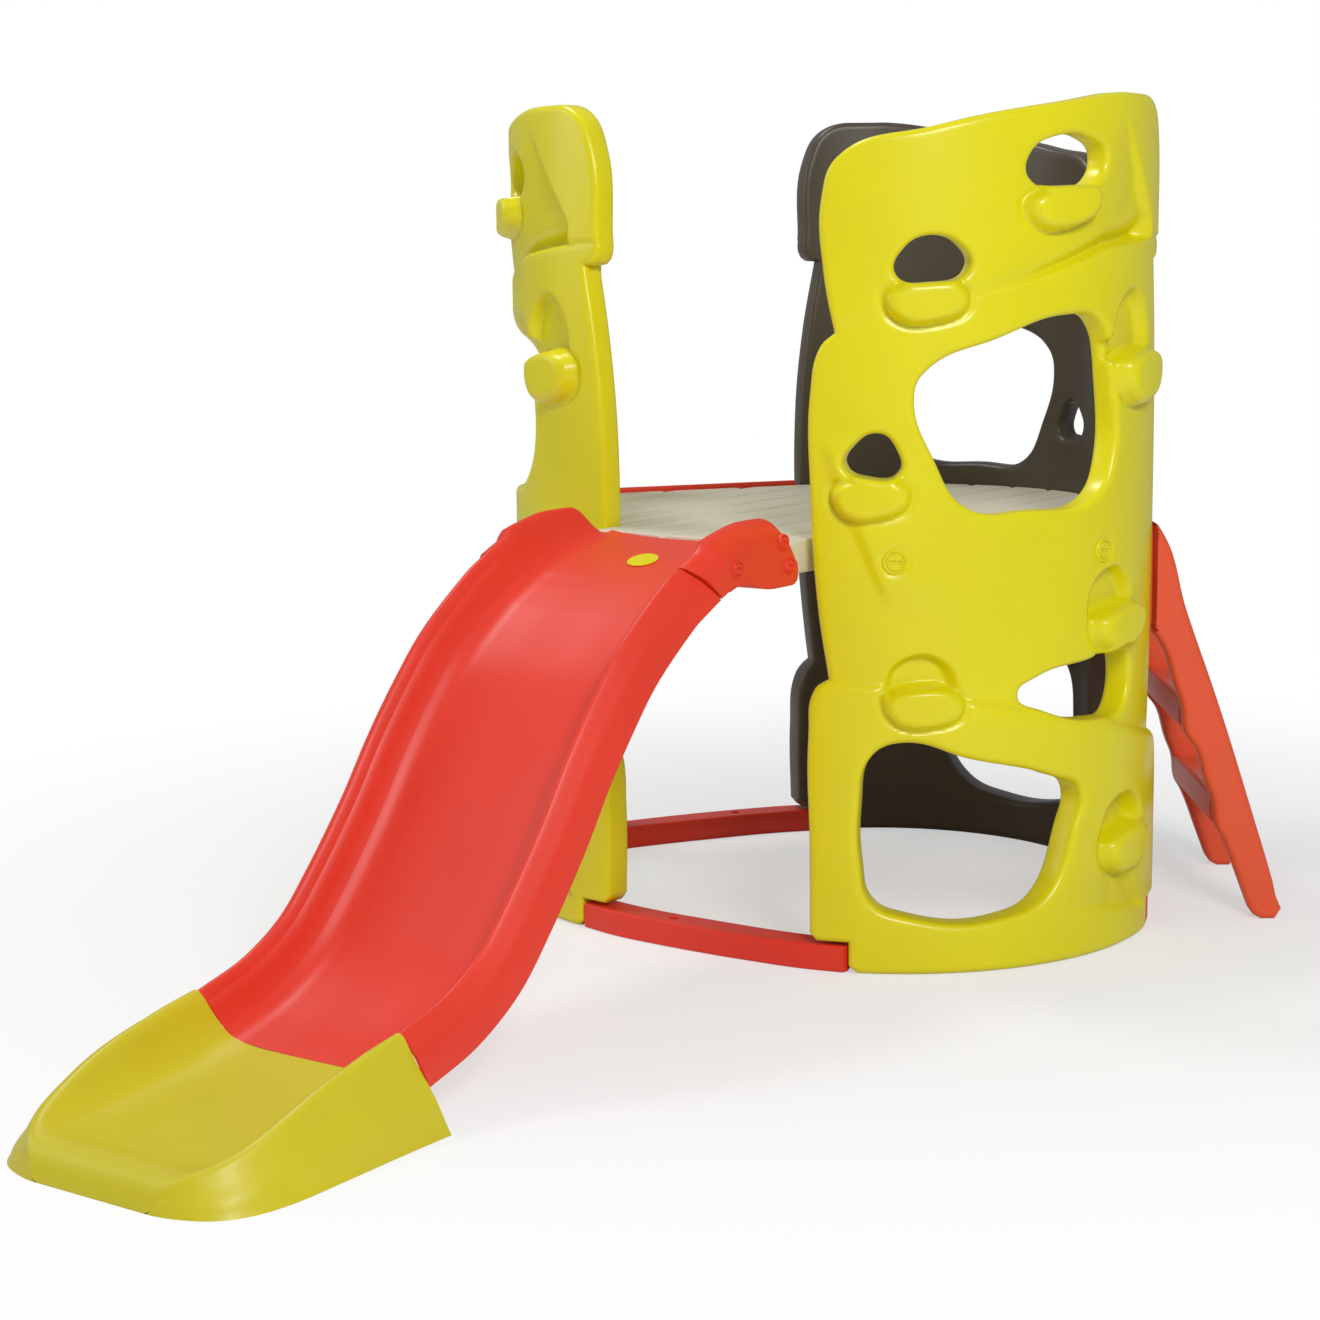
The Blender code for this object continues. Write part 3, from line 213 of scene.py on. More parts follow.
def to_curve(points, curve):
    """Signed distance from points to a closed outline, negative inside, with the nearest spots on it:
    the least of the distances to its straight pieces, its sign from counting crossings."""
    start, end = curve, np.roll(curve, -1, 0)
    side = end - start
    length = np.maximum((side ** 2).sum(1), 1e-18)
    distance, spots, inside = [], [], []
    for part in np.array_split(points, max(1, len(points) * len(curve) // 4000000)):
        gap = part[:, None] - start
        share = np.clip((gap * side).sum(2) / length, 0, 1)
        spot = start + share[..., None] * side
        away = ((part[:, None] - spot) ** 2).sum(2)
        best = away.argmin(1)
        rows = np.arange(len(part))
        distance.append(np.sqrt(away[rows, best]))
        spots.append(spot[rows, best])
        rises = (start[:, 1] > part[:, None, 1]) != (end[:, 1] > part[:, None, 1])
        cross = start[:, 0] + gap[..., 1] * side[:, 0] / np.where(side[:, 1] == 0, 1e-18, side[:, 1])
        inside.append((rises & (part[:, None, 0] < cross)).sum(1) % 2 == 1)
    distance, spots, inside = np.concatenate(distance), np.concatenate(spots), np.concatenate(inside)
    return np.where(inside, -distance, distance), spots


def panel_field(points, curves, edges):
    """Field of a panel: the greatest of each outline's signed distance plus its edge radius, holes
    counted inside out; also the nearest spot on the outline that rules."""
    field = np.full(len(points), -np.inf)
    spots = np.zeros_like(points)
    for index, (curve, edge) in enumerate(zip(curves, edges)):
        distance, near = to_curve(points, curve)
        value = (distance if index == 0 else -distance) + edge
        rules = value > field
        field = np.where(rules, value, field)
        spots = np.where(rules[:, None], near, spots)
    return field, spots


def panel(curves, edges, cell, front, back, rim=(4, 1, 4)):
    """Panel between two height functions over a flat outline with holes. A square grid fills it,
    grid points near the outline move onto it, and a rim with quarter-round edges joins both faces.
    Returns points as (along, up, out) and faces."""
    low = curves[0].min(0) - cell
    high = curves[0].max(0) + cell
    count = np.ceil((high - low) / cell).astype(int) + 1
    grid = np.stack(np.meshgrid(np.arange(count[0]), np.arange(count[1]), indexing="ij"), -1)
    points = (low + grid * cell).reshape(-1, 2)
    field, spots = panel_field(points, curves, edges)
    slope = np.stack(np.gradient(field.reshape(count), cell), -1).reshape(-1, 2)
    slope /= np.maximum(np.linalg.norm(slope, axis=1, keepdims=True), 1e-9)
    near = np.abs(field) < 0.5 * cell
    inside = (field < 0) | near
    moved = points[near]
    for step in range(3):
        moved = moved - slope[near] * panel_field(moved, curves, edges)[0][:, None]
    points[near] = moved
    spots[near] = panel_field(moved, curves, edges)[1]
    index = np.arange(len(points)).reshape(count)
    quads = np.stack([index[:-1, :-1], index[1:, :-1], index[1:, 1:], index[:-1, 1:]], -1).reshape(-1, 4)
    kept = inside[quads].sum(1)
    onto = near[quads].sum(1)
    whole = quads[(kept == 4) & (onto < 4)]
    cut = quads[(kept == 3) & (onto < 3)]
    triangles = []
    for drop in range(4):
        rows = cut[~inside[cut[:, drop]]]
        triangles.append(np.delete(rows, drop, 1))
    triangles = np.concatenate(triangles)
    used = np.unique(np.concatenate([whole.ravel(), triangles.ravel()]))
    renumber = np.full(len(points), -1)
    renumber[used] = np.arange(len(used))
    whole, triangles = renumber[whole], renumber[triangles]
    points, spots = points[used], spots[used]
    total = len(points)
    pairs = np.concatenate([np.stack([f[:, i], f[:, (i + 1) % f.shape[1]]], 1)
                            for f in (whole, triangles) for i in range(f.shape[1])])
    lone = pairs[~np.isin(pairs[:, 0] * total + pairs[:, 1], pairs[:, 1] * total + pairs[:, 0])]
    edge = np.unique(lone)
    face_front = np.column_stack([points, front(*points.T)])
    face_back = np.column_stack([points, back(*points.T)])
    reach = np.linalg.norm(spots[edge] - points[edge], axis=1)
    rows = [np.column_stack([points[edge], face_front[edge, 2]])]
    top, foot = face_front[edge, 2], face_back[edge, 2]
    turn_in = np.minimum(reach, 0.45 * (top - foot))
    for angle in np.linspace(0, math.pi / 2, rim[0] + 1)[1:]:
        plan = points[edge] + (spots[edge] - points[edge]) * math.sin(angle)
        rows.append(np.column_stack([plan, top - turn_in * (1 - math.cos(angle))]))
    for share in np.linspace(0, 1, rim[1] + 1)[1:]:
        rows.append(np.column_stack([spots[edge], (top - turn_in) * (1 - share) + (foot + turn_in) * share]))
    for angle in np.linspace(0, math.pi / 2, rim[2] + 1)[1:]:
        plan = points[edge] + (spots[edge] - points[edge]) * math.cos(angle)
        rows.append(np.column_stack([plan, foot + turn_in * (1 - math.sin(angle))]))
    vertices = np.concatenate([face_front, face_back] + rows[1:-1])
    place = np.full(total, -1)
    place[edge] = np.arange(len(edge))
    ladder = [edge] + [2 * total + k * len(edge) + np.arange(len(edge)) for k in range(len(rows) - 2)]
    ladder.append(total + edge)
    faces = whole.tolist() + triangles.tolist()
    faces += (whole[:, ::-1] + total).tolist() + (triangles[:, ::-1] + total).tolist()
    first, second = place[lone[:, 0]], place[lone[:, 1]]
    for upper, lower in zip(ladder, ladder[1:]):
        faces += np.stack([upper[second], upper[first], lower[first], lower[second]], 1).tolist()
    return vertices, faces


def add_piece(name, vertices, faces, paint, replaced, sharp=None):
    """Make a smooth-shaded mesh object from arrays in place of a solid of the tower, with its edges
    kept sharp above an angle in degrees."""
    mesh = bpy.data.meshes.new(name)
    mesh.from_pydata(np.asarray(vertices).tolist(), [], faces)
    mesh.validate()
    mesh.shade_smooth()
    if sharp:
        mesh.set_sharp_from_angle(angle=math.radians(sharp))
    mesh.materials.append(paint)
    made = bpy.data.objects.new(name, mesh)
    bpy.context.scene.collection.objects.link(made)
    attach(made, "tower")
    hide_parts(replaced)


def ease(x, low, high):
    """Smooth step from 0 at low to 1 at high: three squares less two cubes of the share."""
    share = np.clip((x - low) / (high - low), 0, 1)
    return share * share * (3 - 2 * share)


def beside(s, z, start, end):
    """Distance from a straight line, positive on its right when looking from start to end."""
    run, rise = end[0] - start[0], end[1] - start[1]
    return ((s - start[0]) * rise - (z - start[1]) * run) / math.hypot(run, rise)


WALL_OUTLINE = [
    (-0.394, 0.052, "c"), (-0.394, 0.200), (-0.396, 0.400), (-0.385, 0.477), (-0.364, 0.492, "c"),
    (-0.383, 0.611), (-0.396, 0.800), (-0.396, 0.960), (-0.378, 1.035), (-0.354, 1.056, "c"),
    (-0.372, 1.150), (-0.376, 1.270), (-0.350, 1.334), (-0.195, 1.380), (0.050, 1.421),
    (0.240, 1.4394), (0.330, 1.425), (0.368, 1.370), (0.380, 1.230), (0.372, 1.172), (0.345, 1.166, "c"),
    (0.372, 1.020), (0.388, 0.850), (0.384, 0.600), (0.368, 0.420), (0.360, 0.358, "c"),
    (0.386, 0.320), (0.396, 0.220), (0.394, 0.052, "c"),
    (0.328, 0.052, "c"), (0.328, 0.0, "c"), (-0.328, 0.0, "c"), (-0.328, 0.052, "c"),
]
BIG_WINDOW = [
    (-0.222, 0.955), (-0.205, 0.992), (-0.082, 1.044), (0.052, 1.080), (0.132, 1.066),
    (0.170, 0.965), (0.170, 0.835), (0.127, 0.781), (-0.023, 0.764), (-0.133, 0.773), (-0.189, 0.852),
]
SMALL_WINDOW = [
    (-0.039, 0.461), (-0.005, 0.487), (0.122, 0.508), (0.207, 0.524), (0.235, 0.500),
    (0.220, 0.418), (0.134, 0.405), (0.007, 0.432),
]
LOW_WINDOW = [
    (-0.308, 0.180), (-0.311, 0.276), (-0.291, 0.366), (-0.243, 0.390), (-0.128, 0.361), (0.022, 0.322),
    (0.086, 0.288), (0.070, 0.225), (0.014, 0.118), (-0.068, 0.088), (-0.228, 0.096), (-0.293, 0.124),
]
HAND_HOLES = [
    [(-0.030, 1.300), (-0.028, 1.335), (0.022, 1.364), (0.107, 1.360), (0.140, 1.334), (0.120, 1.298),
     (0.042, 1.287)],
    [(-0.254, 1.150), (-0.240, 1.190), (-0.198, 1.210), (-0.148, 1.194), (-0.132, 1.160), (-0.198, 1.136)],
    [(-0.338, 0.845), (-0.326, 0.872), (-0.278, 0.895), (-0.251, 0.870), (-0.246, 0.833), (-0.298, 0.824)],
]
# Grips as (middle, top edge, foot, half width, slant), and hollows as (middle, foot, top, half width)
GRIPS = [
    (0.037, 1.288, 1.216, 0.077, 0.03), (-0.203, 1.137, 1.068, 0.070, -0.05),
    (-0.292, 0.824, 0.753, 0.066, -0.05), (0.252, 1.022, 0.925, 0.072, -0.05),
    (0.190, 0.597, 0.516, 0.074, 0.0), (-0.206, 0.484, 0.413, 0.068, -0.10),
    (0.222, 0.210, 0.128, 0.074, 0.0),
]
HOLLOWS = [(0.236, 1.022, 1.122, 0.074), (0.178, 0.597, 0.660, 0.072), (-0.206, 0.484, 0.536, 0.062),
           (0.212, 0.210, 0.268, 0.074)]
TOP_SEAM = np.array([(-0.40, 1.045), (-0.25, 1.083), (-0.131, 1.111), (-0.023, 1.140), (0.155, 1.189),
                     (0.308, 1.205), (0.42, 1.210)])
LOW_SEAM = np.array([(-0.40, 0.493), (-0.271, 0.484), (-0.134, 0.459), (0.013, 0.429), (0.158, 0.398),
                     (0.302, 0.359), (0.42, 0.335)])


def bent(x, blend):
    """Distance past a crease, zero before it, rounded over the blend: a root less the blend, halved."""
    return (np.sqrt(x * x + blend * blend) + x - blend) / 2


def top_rock(s, z, over_top):
    """Upper rock: a broad face, then right of a soft crease a facet that sinks away from it as far as
    the right-hand strip, with its lowest part tucked in over the seam."""
    crease = beside(s, z, (-0.106, 1.146), (0.188, 1.409))
    strip = np.where(z > 1.325, beside(s, z, (0.240, 1.325), (0.188, 1.409)),
                     beside(s, z, (0.305, 1.238), (0.240, 1.325)))
    off_strip = 1 - ease(strip, -0.011, 0.005)
    sunk = np.minimum(0.13 * np.maximum(bent(crease, 0.020), 0), 0.017) * off_strip
    tuck = 0.60 * bent(0.042 * np.clip((s + 0.106) / 0.40, 0, 1) - over_top, 0.004) * (crease > 0) * off_strip
    plain = (0.002 + 0.004 * ease(s, -0.14, 0.10)) * (1 - ease(over_top, 0.004, 0.024))
    face = -sunk - np.minimum(np.maximum(tuck, 0), 0.016) - plain * off_strip
    return np.where((s > 0.306) & (z < 1.24), 0.0, face)


def middle_rock(s, z):
    """Middle rock: level, with one facet that rises from a slanted crease on its left."""
    facet = beside(s, z, (-0.266, 0.594), (-0.378, 0.871))
    rise = ease(facet, -0.004, 0.022) * ease(z, 0.594, 0.66) * ease(0.90 - z, 0.0, 0.05)
    return 0.008 * rise * (1 - ease(facet, 0.02, 0.16)) - 0.002


def low_rock(s, z):
    """Lower rock: proud of the middle one, with a facet sunk between the window, the base and the grip."""
    crease = beside(s, z, (0.055, 0.10), (0.085, 0.30))
    strip = beside(s, z, (0.318, 0.041), (0.150, 0.200))
    base = z - np.interp(s, [0.0, 0.09, 0.31], [0.083, 0.079, 0.043])
    sunk = np.minimum(0.12 * np.maximum(bent(crease, 0.016), 0), 0.014) * (1 - ease(strip, -0.014, 0.004))
    return 0.009 - sunk * ease(base, -0.002, 0.014) * ease(0.32 - z, 0.0, 0.12)


def wall_front(s, z):
    """Height of the wall's outer face over its arc: three rocks, of which the one over a seam sinks
    towards it and the one under it starts with a rounded shoulder, and the lowest stands 9 mm proud;
    then the hollows, the pillow-shaped grips and the bolts' dishes."""
    over_top = z - np.interp(s, *TOP_SEAM.T)
    over_low = z - np.interp(s, *LOW_SEAM.T)
    shoulder = np.sqrt(np.clip(1 - (1 + np.clip(over_top, -0.014, 0) / 0.014) ** 2, 0, 1))
    under = 0.003 + 0.006 * ease(s, -0.14, 0.10)
    depth = np.where(over_top > 0, top_rock(s, z, over_top),
                     middle_rock(s, z) * shoulder - under * (1 - shoulder))
    shoulder = np.sqrt(np.clip(1 - (1 + np.clip(over_low, -0.018, 0) / 0.018) ** 2, 0, 1))
    depth = np.where(over_low < 0, low_rock(s, z) * shoulder, depth)
    for middle, foot, top, half in HOLLOWS:
        share = (s - middle) / half
        reach = np.hypot(share, np.maximum(z - foot, 0) / (top - foot))
        sunk = ease(1 - reach, 0.0, 0.10 + 0.30 * ease(share, 0.0, 0.8)) * (z > foot - 0.02)
        depth = depth * (1 - sunk) - 0.024 * sunk
    for middle, top, foot, half, slant in GRIPS:
        share = (s - middle) / half
        tall = top - foot
        edge = top + slant * (s - middle) + 0.0045 * np.sin(2.6 * np.clip(share, -1, 1))
        heart = edge - 0.37 * tall
        up = np.where(z > heart, (z - heart) / (0.37 * tall), (z - heart) / (0.63 * tall))
        reach = (np.abs(share) ** 2.3 + np.abs(up) ** 2.3) ** (1 / 2.3)
        pillow = np.sqrt(np.clip(1 - (1 - np.clip((1 - reach) / 0.36, 0, 1)) ** 2, 0, 1))
        ring = ease(1.20 - reach, 0.0, 0.17) * (z < edge - 0.004)
        depth = (depth - 0.0050 * ring) * (1 - pillow) + 0.025 * pillow
    for along in WALL_BOLTS.values():
        depth = depth - 0.003 * (1 - ease(np.hypot(s - along, z - BOLT_LEVEL), 0.0215, 0.0290))
    return depth


def softened_front(s, z):
    """Outer face as the mean of itself and of four points 2.2 mm away, so that a steep edge that runs
    slantwise over the grid doesn't show its steps."""
    steps = [(0.0, 0.0), (0.0022, 0.0), (-0.0022, 0.0), (0.0, 0.0022), (0.0, -0.0022)]
    return sum(wall_front(s + along, z + up) for along, up in steps) / len(steps)


def level_face(height):
    """A flat face at one height."""
    return lambda x, y: np.full_like(x, height)


WALL_CURVES = [closed_curve(k) for k in [WALL_OUTLINE, BIG_WINDOW, SMALL_WINDOW, LOW_WINDOW] + HAND_HOLES]
# How far the panel's edge and those of its three windows and three hand holes are rounded
WALL_EDGES = (0.011, 0.012, 0.010, 0.012, 0.011, 0.011, 0.011)
flat_wall, wall_faces = panel(WALL_CURVES, WALL_EDGES, 0.0044, softened_front, level_face(-WALL_THICK))
# Each wall's arc: its centre in plan from the tower's axis and its turn in degrees
WALL_ARCS = {"front": (0.0610, 0.1148, 62.0), "left": (0.0368, -0.1786, -52.0),
             "rear": (-0.1293, -0.0136, 186.0)}


def bend(points, label):
    """Roll a flat panel round a wall's arc: the angle is the distance along it over the radius, and
    the height over the face adds to the radius."""
    x, y, degrees = WALL_ARCS[label]
    angle = points[:, 0] / WALL_RADIUS + math.radians(degrees)
    reach = WALL_RADIUS + points[:, 2]
    height = np.minimum(points[:, 1], WALL_TOP)
    return AXIS + np.column_stack([x + reach * np.cos(angle), y + reach * np.sin(angle), height])


for label, (paint, slot) in WALL_FINISH.items():
    add_piece(f"{label}_wall_skin", bend(flat_wall, label), wall_faces, paint, f"{label}_climbing_wall")


# Platform
# A moulded deck of sand plastic, ribbed like planks along the slide. Its nose dips under the slide's
# tongue between the two brackets.
def in_plan(turn, out, side):
    """Row-frame plan of a distance out along a direction and a distance to its left."""
    return np.stack([out * np.cos(turn) - side * np.sin(turn), out * np.sin(turn) + side * np.cos(turn)], -1)


# Deck plastic is the dullest: a matt face that feet don't slip on.
SAND = moulded_plastic("sand_polyethylene", "#DDD6C1", 0.5)
LADDER_TURN = math.radians(124.0)
DECK_RADIUS = WALL_RADIUS - WALL_THICK - 0.0018
TONGUE_RADIUS, TONGUE_HALF = 0.5520, 0.1675


def deck_arc(label):
    """Edge of the deck along the inside of one wall: an arc about the wall's own centre."""
    x, y, degrees = WALL_ARCS[label]
    angle = np.radians(degrees + np.linspace(-45.5, 45.5, 40))
    return np.stack([x + DECK_RADIUS * np.cos(angle), y + DECK_RADIUS * np.sin(angle)], -1)


tongue_side = np.linspace(-TONGUE_HALF, TONGUE_HALF, 40)
tongue_edge = np.stack([np.sqrt(TONGUE_RADIUS ** 2 - tongue_side ** 2) - 0.001, tongue_side], -1)
slide_nose = np.array([(0.4435, -0.196), (0.543, -0.196), (0.543, -TONGUE_HALF)])
ladder_nose = in_plan(LADDER_TURN, np.array([0.456, 0.507, 0.507, 0.456]),
                      np.array([-0.181, -0.181, 0.181, 0.181]))
deck_plan = np.concatenate([
    deck_arc("left"), slide_nose, tongue_edge, slide_nose[::-1] * (1, -1), deck_arc("front"), ladder_nose,
    deck_arc("rear")])


def deck_top(x, y):
    """Deck surface at 720 mm with a soft groove 4.8 mm deep every 92 mm across the slide's direction."""
    groove = np.abs((y + 0.046) / 0.092 - np.round((y + 0.046) / 0.092)) * 0.092
    return 0.720 - 0.0048 * (1 - ease(groove, 0.0022, 0.0085))


def tongue_slope(out):
    """Height of the slide's tongue at a distance out: it falls outwards at 18 in 100."""
    return 0.7190 - 0.18 * (out - 0.526)


def nose_top(x, y):
    """Top of the nose, 6.8 mm under the tongue's own face."""
    return tongue_slope(x) - 0.0068


deck_low = level_face(0.665)
vertices, faces = panel([deck_plan], (0.003,), 0.0050, deck_top, deck_low, (3, 1, 2))
nose_plan = np.concatenate([tongue_edge - (0.012, 0.0), [(0.622, TONGUE_HALF), (0.622, -TONGUE_HALF)]])
nose_vertices, nose_faces = panel([nose_plan], (0.003,), 0.0060, nose_top, deck_low, (3, 1, 2))
faces = faces + [[i + len(vertices) for i in face] for face in nose_faces]
vertices = np.concatenate([vertices, nose_vertices]) + AXIS
add_piece("platform_skin", vertices, faces, SAND, "platform", sharp=50)


# Slide
# A red blow-moulded chute in one wave: a flat bed between two rolled lips with skirts outside, and at
# its head a flat tongue that lies on the platform between the brackets.
def smooth_line(knots, count):
    """Points and unit slopes evenly spread over a Catmull-Rom curve through knots: each span is the
    cubic whose end slopes are half the difference of the neighbouring knots."""
    knots = np.asarray(knots, float)
    padded = np.concatenate([[2 * knots[0] - knots[1]], knots, [2 * knots[-1] - knots[-2]]])
    t = np.linspace(0, len(knots) - 1, count)
    span = np.minimum(t.astype(int), len(knots) - 2)
    u = (t - span)[:, None]
    a, b, c, d = (padded[span + i] for i in range(4))
    point = 0.5 * (2 * b + (c - a) * u + (2 * a - 5 * b + 4 * c - d) * u ** 2
                   + (3 * b - a - 3 * c + d) * u ** 3)
    slope = 0.5 * ((c - a) + 2 * (2 * a - 5 * b + 4 * c - d) * u + 3 * (3 * b - a - 3 * c + d) * u ** 2)
    return point, slope / np.linalg.norm(slope, axis=1, keepdims=True)


# Slide plastic has a satin face: its highlights are wide and pale.
RED = moulded_plastic("red_polyethylene", "#E6361E", 0.44)
LIP_DEPTH = 0.075
BED_PATH = [
    (0.640, 0.6985), (0.671, 0.6915), (0.727, 0.6755), (0.775, 0.6570), (0.812, 0.6406), (0.857, 0.6160),
    (0.947, 0.5515), (1.009, 0.4890), (1.0725, 0.4137), (1.139, 0.3230), (1.221, 0.2265), (1.296, 0.1530),
    (1.390, 0.1007), (1.4955, 0.0698),
]
BED, BED_SLOPE = smooth_line(BED_PATH, 1041)
# Right half of the chute's hollow as (side, share of the lip's height)
HOLLOW = np.array([
    (0.0, 0.0), (0.060, 0.005), (0.106, 0.04), (0.132, 0.08), (0.150, 0.22), (0.166, 0.50), (0.177, 0.80),
    (0.1835, 0.947), (0.1885, 0.995)])


def lip_half(depth):
    """Right half of the chute's section as (side, height over the bed), upper line then lower line."""
    top = [(0.1930, depth - 0.0012), (0.1975, depth - 0.0055), (0.2065, depth - 0.0180),
           (0.2135, depth - 0.0280), (0.2170, depth - 0.0370), (0.2225, depth - 0.060), (0.224, -0.002)]
    low = [(0.219, -0.002), (0.2165, depth - 0.060), (0.2115, depth - 0.037), (0.205, depth - 0.024),
           (0.197, depth - 0.012), (0.189, depth - 0.0085), (0.181, depth - 0.012), (0.171, 0.70 * depth),
           (0.161, 0.42 * depth), (0.145, 0.12 * depth), (0.128, 0.02 * depth), (0.104, -0.004),
           (0.060, -0.0058), (0.0, -0.006)]
    return np.concatenate([HOLLOW * (1, depth), top + low])


def head_half(rise, width=1.0):
    """Right half of the head's section: the same hollow 5.5 mm thick, whose edge turns down inside
    the bracket, with as many points as the lip's section."""
    line = lip_half(LIP_DEPTH)
    height = np.interp(line[:, 0], HOLLOW[:, 0], HOLLOW[:, 1] * rise)
    # The lip's points 9 to 21, its roll and skirt, make the turned-down edge here
    turn = np.clip((np.arange(len(line)) - 8) / 14, 0, 1)
    edge = (turn > 0) & (turn < 1)
    side = np.where(edge, 0.1885 + 0.0014 * np.sin(np.pi * turn), line[:, 0])
    height = np.where(edge, 0.995 * rise - 0.0055 * turn, height - 0.0055 * (turn == 1))
    return np.column_stack([side * width, height])


def whole_section(half):
    """Closed section from its right half, which starts and ends on the middle line."""
    return np.concatenate([half, half[-2:0:-1] * (-1, 1)])


def refined(half):
    """Half section with three points a span on a smooth line through it, its corners at the skirt's
    foot kept."""
    corner = int(np.argmax(half[:, 0]))
    upper = smooth_line(half[:corner + 1], corner * 3 + 1)[0]
    lower = smooth_line(half[corner + 1:], (len(half) - corner - 2) * 3 + 1)[0]
    return np.concatenate([upper, lower])


def along_path(points, slopes, sections):
    """Carry sections along a path in the slide's upright plane: a section's height runs square to the
    path and its side runs across."""
    out = points[:, None, 0] - slopes[:, None, 1] * sections[..., 1]
    height = points[:, None, 1] + slopes[:, None, 0] * sections[..., 1]
    return np.stack([out, np.broadcast_to(sections[..., 0], out.shape), height], -1)


def skin(rings, corner=None):
    """Faces of a tube through closed rings, turned round where its signed volume is negative. Each end
    is one face or, for a mirrored section whose right half turns back after its corner point, a band
    of triangles between the section's upper and lower lines."""
    count, around = rings.shape[:2]
    points = rings.reshape(-1, 3)
    index = np.arange(count * around).reshape(count, around)
    following = np.roll(index, -1, 1)
    quads = np.stack([index[:-1], following[:-1], following[1:], index[1:]], -1).reshape(-1, 4)
    triangles = np.concatenate([quads[:, :3], quads[:, [0, 2, 3]]])
    a, b, c = (points[triangles[:, i]] - points.mean(0) for i in range(3))
    if corner is None:
        faces = quads.tolist() + [index[0, ::-1].tolist(), index[-1].tolist()]
    else:
        upper, half = np.arange(corner + 1), around // 2
        lower = half - np.round(upper / corner * (half - corner - 1)).astype(int)
        fan = np.stack([upper[:-1], lower[1:], lower[:-1]], -1)[lower[1:] != lower[:-1]]
        band = np.concatenate([np.stack([upper[:-1], upper[1:], lower[1:]], -1), fan])
        band = np.concatenate([band, -band[:, ::-1] % around])
        faces = quads.tolist() + index[0][band[:, ::-1]].tolist() + index[-1][band].tolist()
    if (a * np.cross(b, c)).sum() < 0:
        faces = [face[::-1] for face in faces]
    return points, faces


# Crest of the head's two sides as (out, height), and the slanted seam that ends them
CREST_LINE = [(0.5625, 0.700), (0.5645, 0.718), (0.571, 0.737), (0.590, 0.757), (0.626, 0.766),
              (0.674, 0.7655), (0.737, 0.755), (0.786, 0.7405), (0.8442, 0.7122)]
SEAM_FOOT, SEAM_HEAD = np.array([0.7765, 0.6550]), np.array([0.8460, 0.7105])


def table(knots, x):
    """Smooth reading of a table of (x, value): a cubic in each span with slopes from the neighbours,
    each limited to three times the smaller of the two spans' slopes so it never overshoots."""
    knots = np.asarray(knots, float)
    xs, vs = knots.T
    grade = np.diff(vs) / np.diff(xs)
    before, after = np.concatenate([grade[:1], grade]), np.concatenate([grade, grade[-1:]])
    slope = np.where(before * after > 0, (before + after) / 2, 0.0)
    limit = 3 * np.minimum(np.abs(before), np.abs(after))
    slope = np.clip(slope, -limit, limit)
    x = np.clip(np.asarray(x, float), xs[0], xs[-1])
    span = np.clip(np.searchsorted(xs, x, side="right") - 1, 0, len(xs) - 2)
    width = xs[span + 1] - xs[span]
    u = (x - xs[span]) / width
    return ((2 * u ** 3 - 3 * u ** 2 + 1) * vs[span] + (u ** 3 - 2 * u ** 2 + u) * width * slope[span]
            + (3 * u ** 2 - 2 * u ** 3) * vs[span + 1] + (u ** 3 - u ** 2) * width * slope[span + 1])


def tongue_top(out):
    """Height of the tongue and bed at a distance out: the tongue's slope, then the bed's path."""
    return np.where(out < BED[0, 0], tongue_slope(out), np.interp(out, BED[:, 0], BED[:, 1]))


def crest_rise(out, slope):
    """Height of the crest over the bed, square to it, from the crest's own line in the upright plane."""
    lean = -slope[1] * 0.055 * float(ease(out, 0.5625, 0.600))
    return (float(table(CREST_LINE, out + lean)) - float(tongue_top(out))) / slope[0]


def up_to_seam(section, start, back, count=5):
    """Rings that carry a section from a row of the bed's path to the slanted seam plane, moved back by
    a gap: each point runs along the path at its own pace, so that all meet the plane together."""
    along = (SEAM_HEAD - SEAM_FOOT) / np.linalg.norm(SEAM_HEAD - SEAM_FOOT)
    path, slope = BED[:560], BED_SLOPE[:560]  # far enough to be past the seam
    spot = path[None] + np.stack([-slope[:, 1], slope[:, 0]], -1) * section[:, None, 1:]
    past = (spot - SEAM_FOOT) @ np.array([along[1], -along[0]]) + back
    row, at = np.arange(len(section)), (past > 0).argmax(1)
    last = at - past[row, at] / (past[row, at] - past[row, at - 1])
    rings = []
    for share in np.linspace(0, 1, count + 1)[1:]:
        place = start + (last - start) * share
        low = place.astype(int)
        part = (place - low)[:, None]
        meet = spot[row, low] * (1 - part) + spot[row, low + 1] * part
        rings.append(np.column_stack([meet[:, 0], section[:, 0], meet[:, 1]]))
    return rings


HEAD_START, HEAD_END = 0.5625, 0.752
HEAD_OUT = np.concatenate([HEAD_START + np.array([0.0, 0.0006, 0.002, 0.005, 0.009, 0.014]),
                           np.linspace(0.582, HEAD_END, 40)])
bed_grade = np.interp(HEAD_OUT, BED[:, 0], BED_SLOPE[:, 1] / BED_SLOPE[:, 0])
head_grade = np.where(HEAD_OUT < BED[0, 0], -0.18, bed_grade)
HEAD_SLOPE = np.stack([np.ones_like(head_grade), head_grade], -1) / np.hypot(1, head_grade)[:, None]
HEAD_PATH = np.stack([HEAD_OUT, tongue_top(HEAD_OUT)], -1)
HEAD_ROW = int((BED[:, 0] >= HEAD_END).argmax())


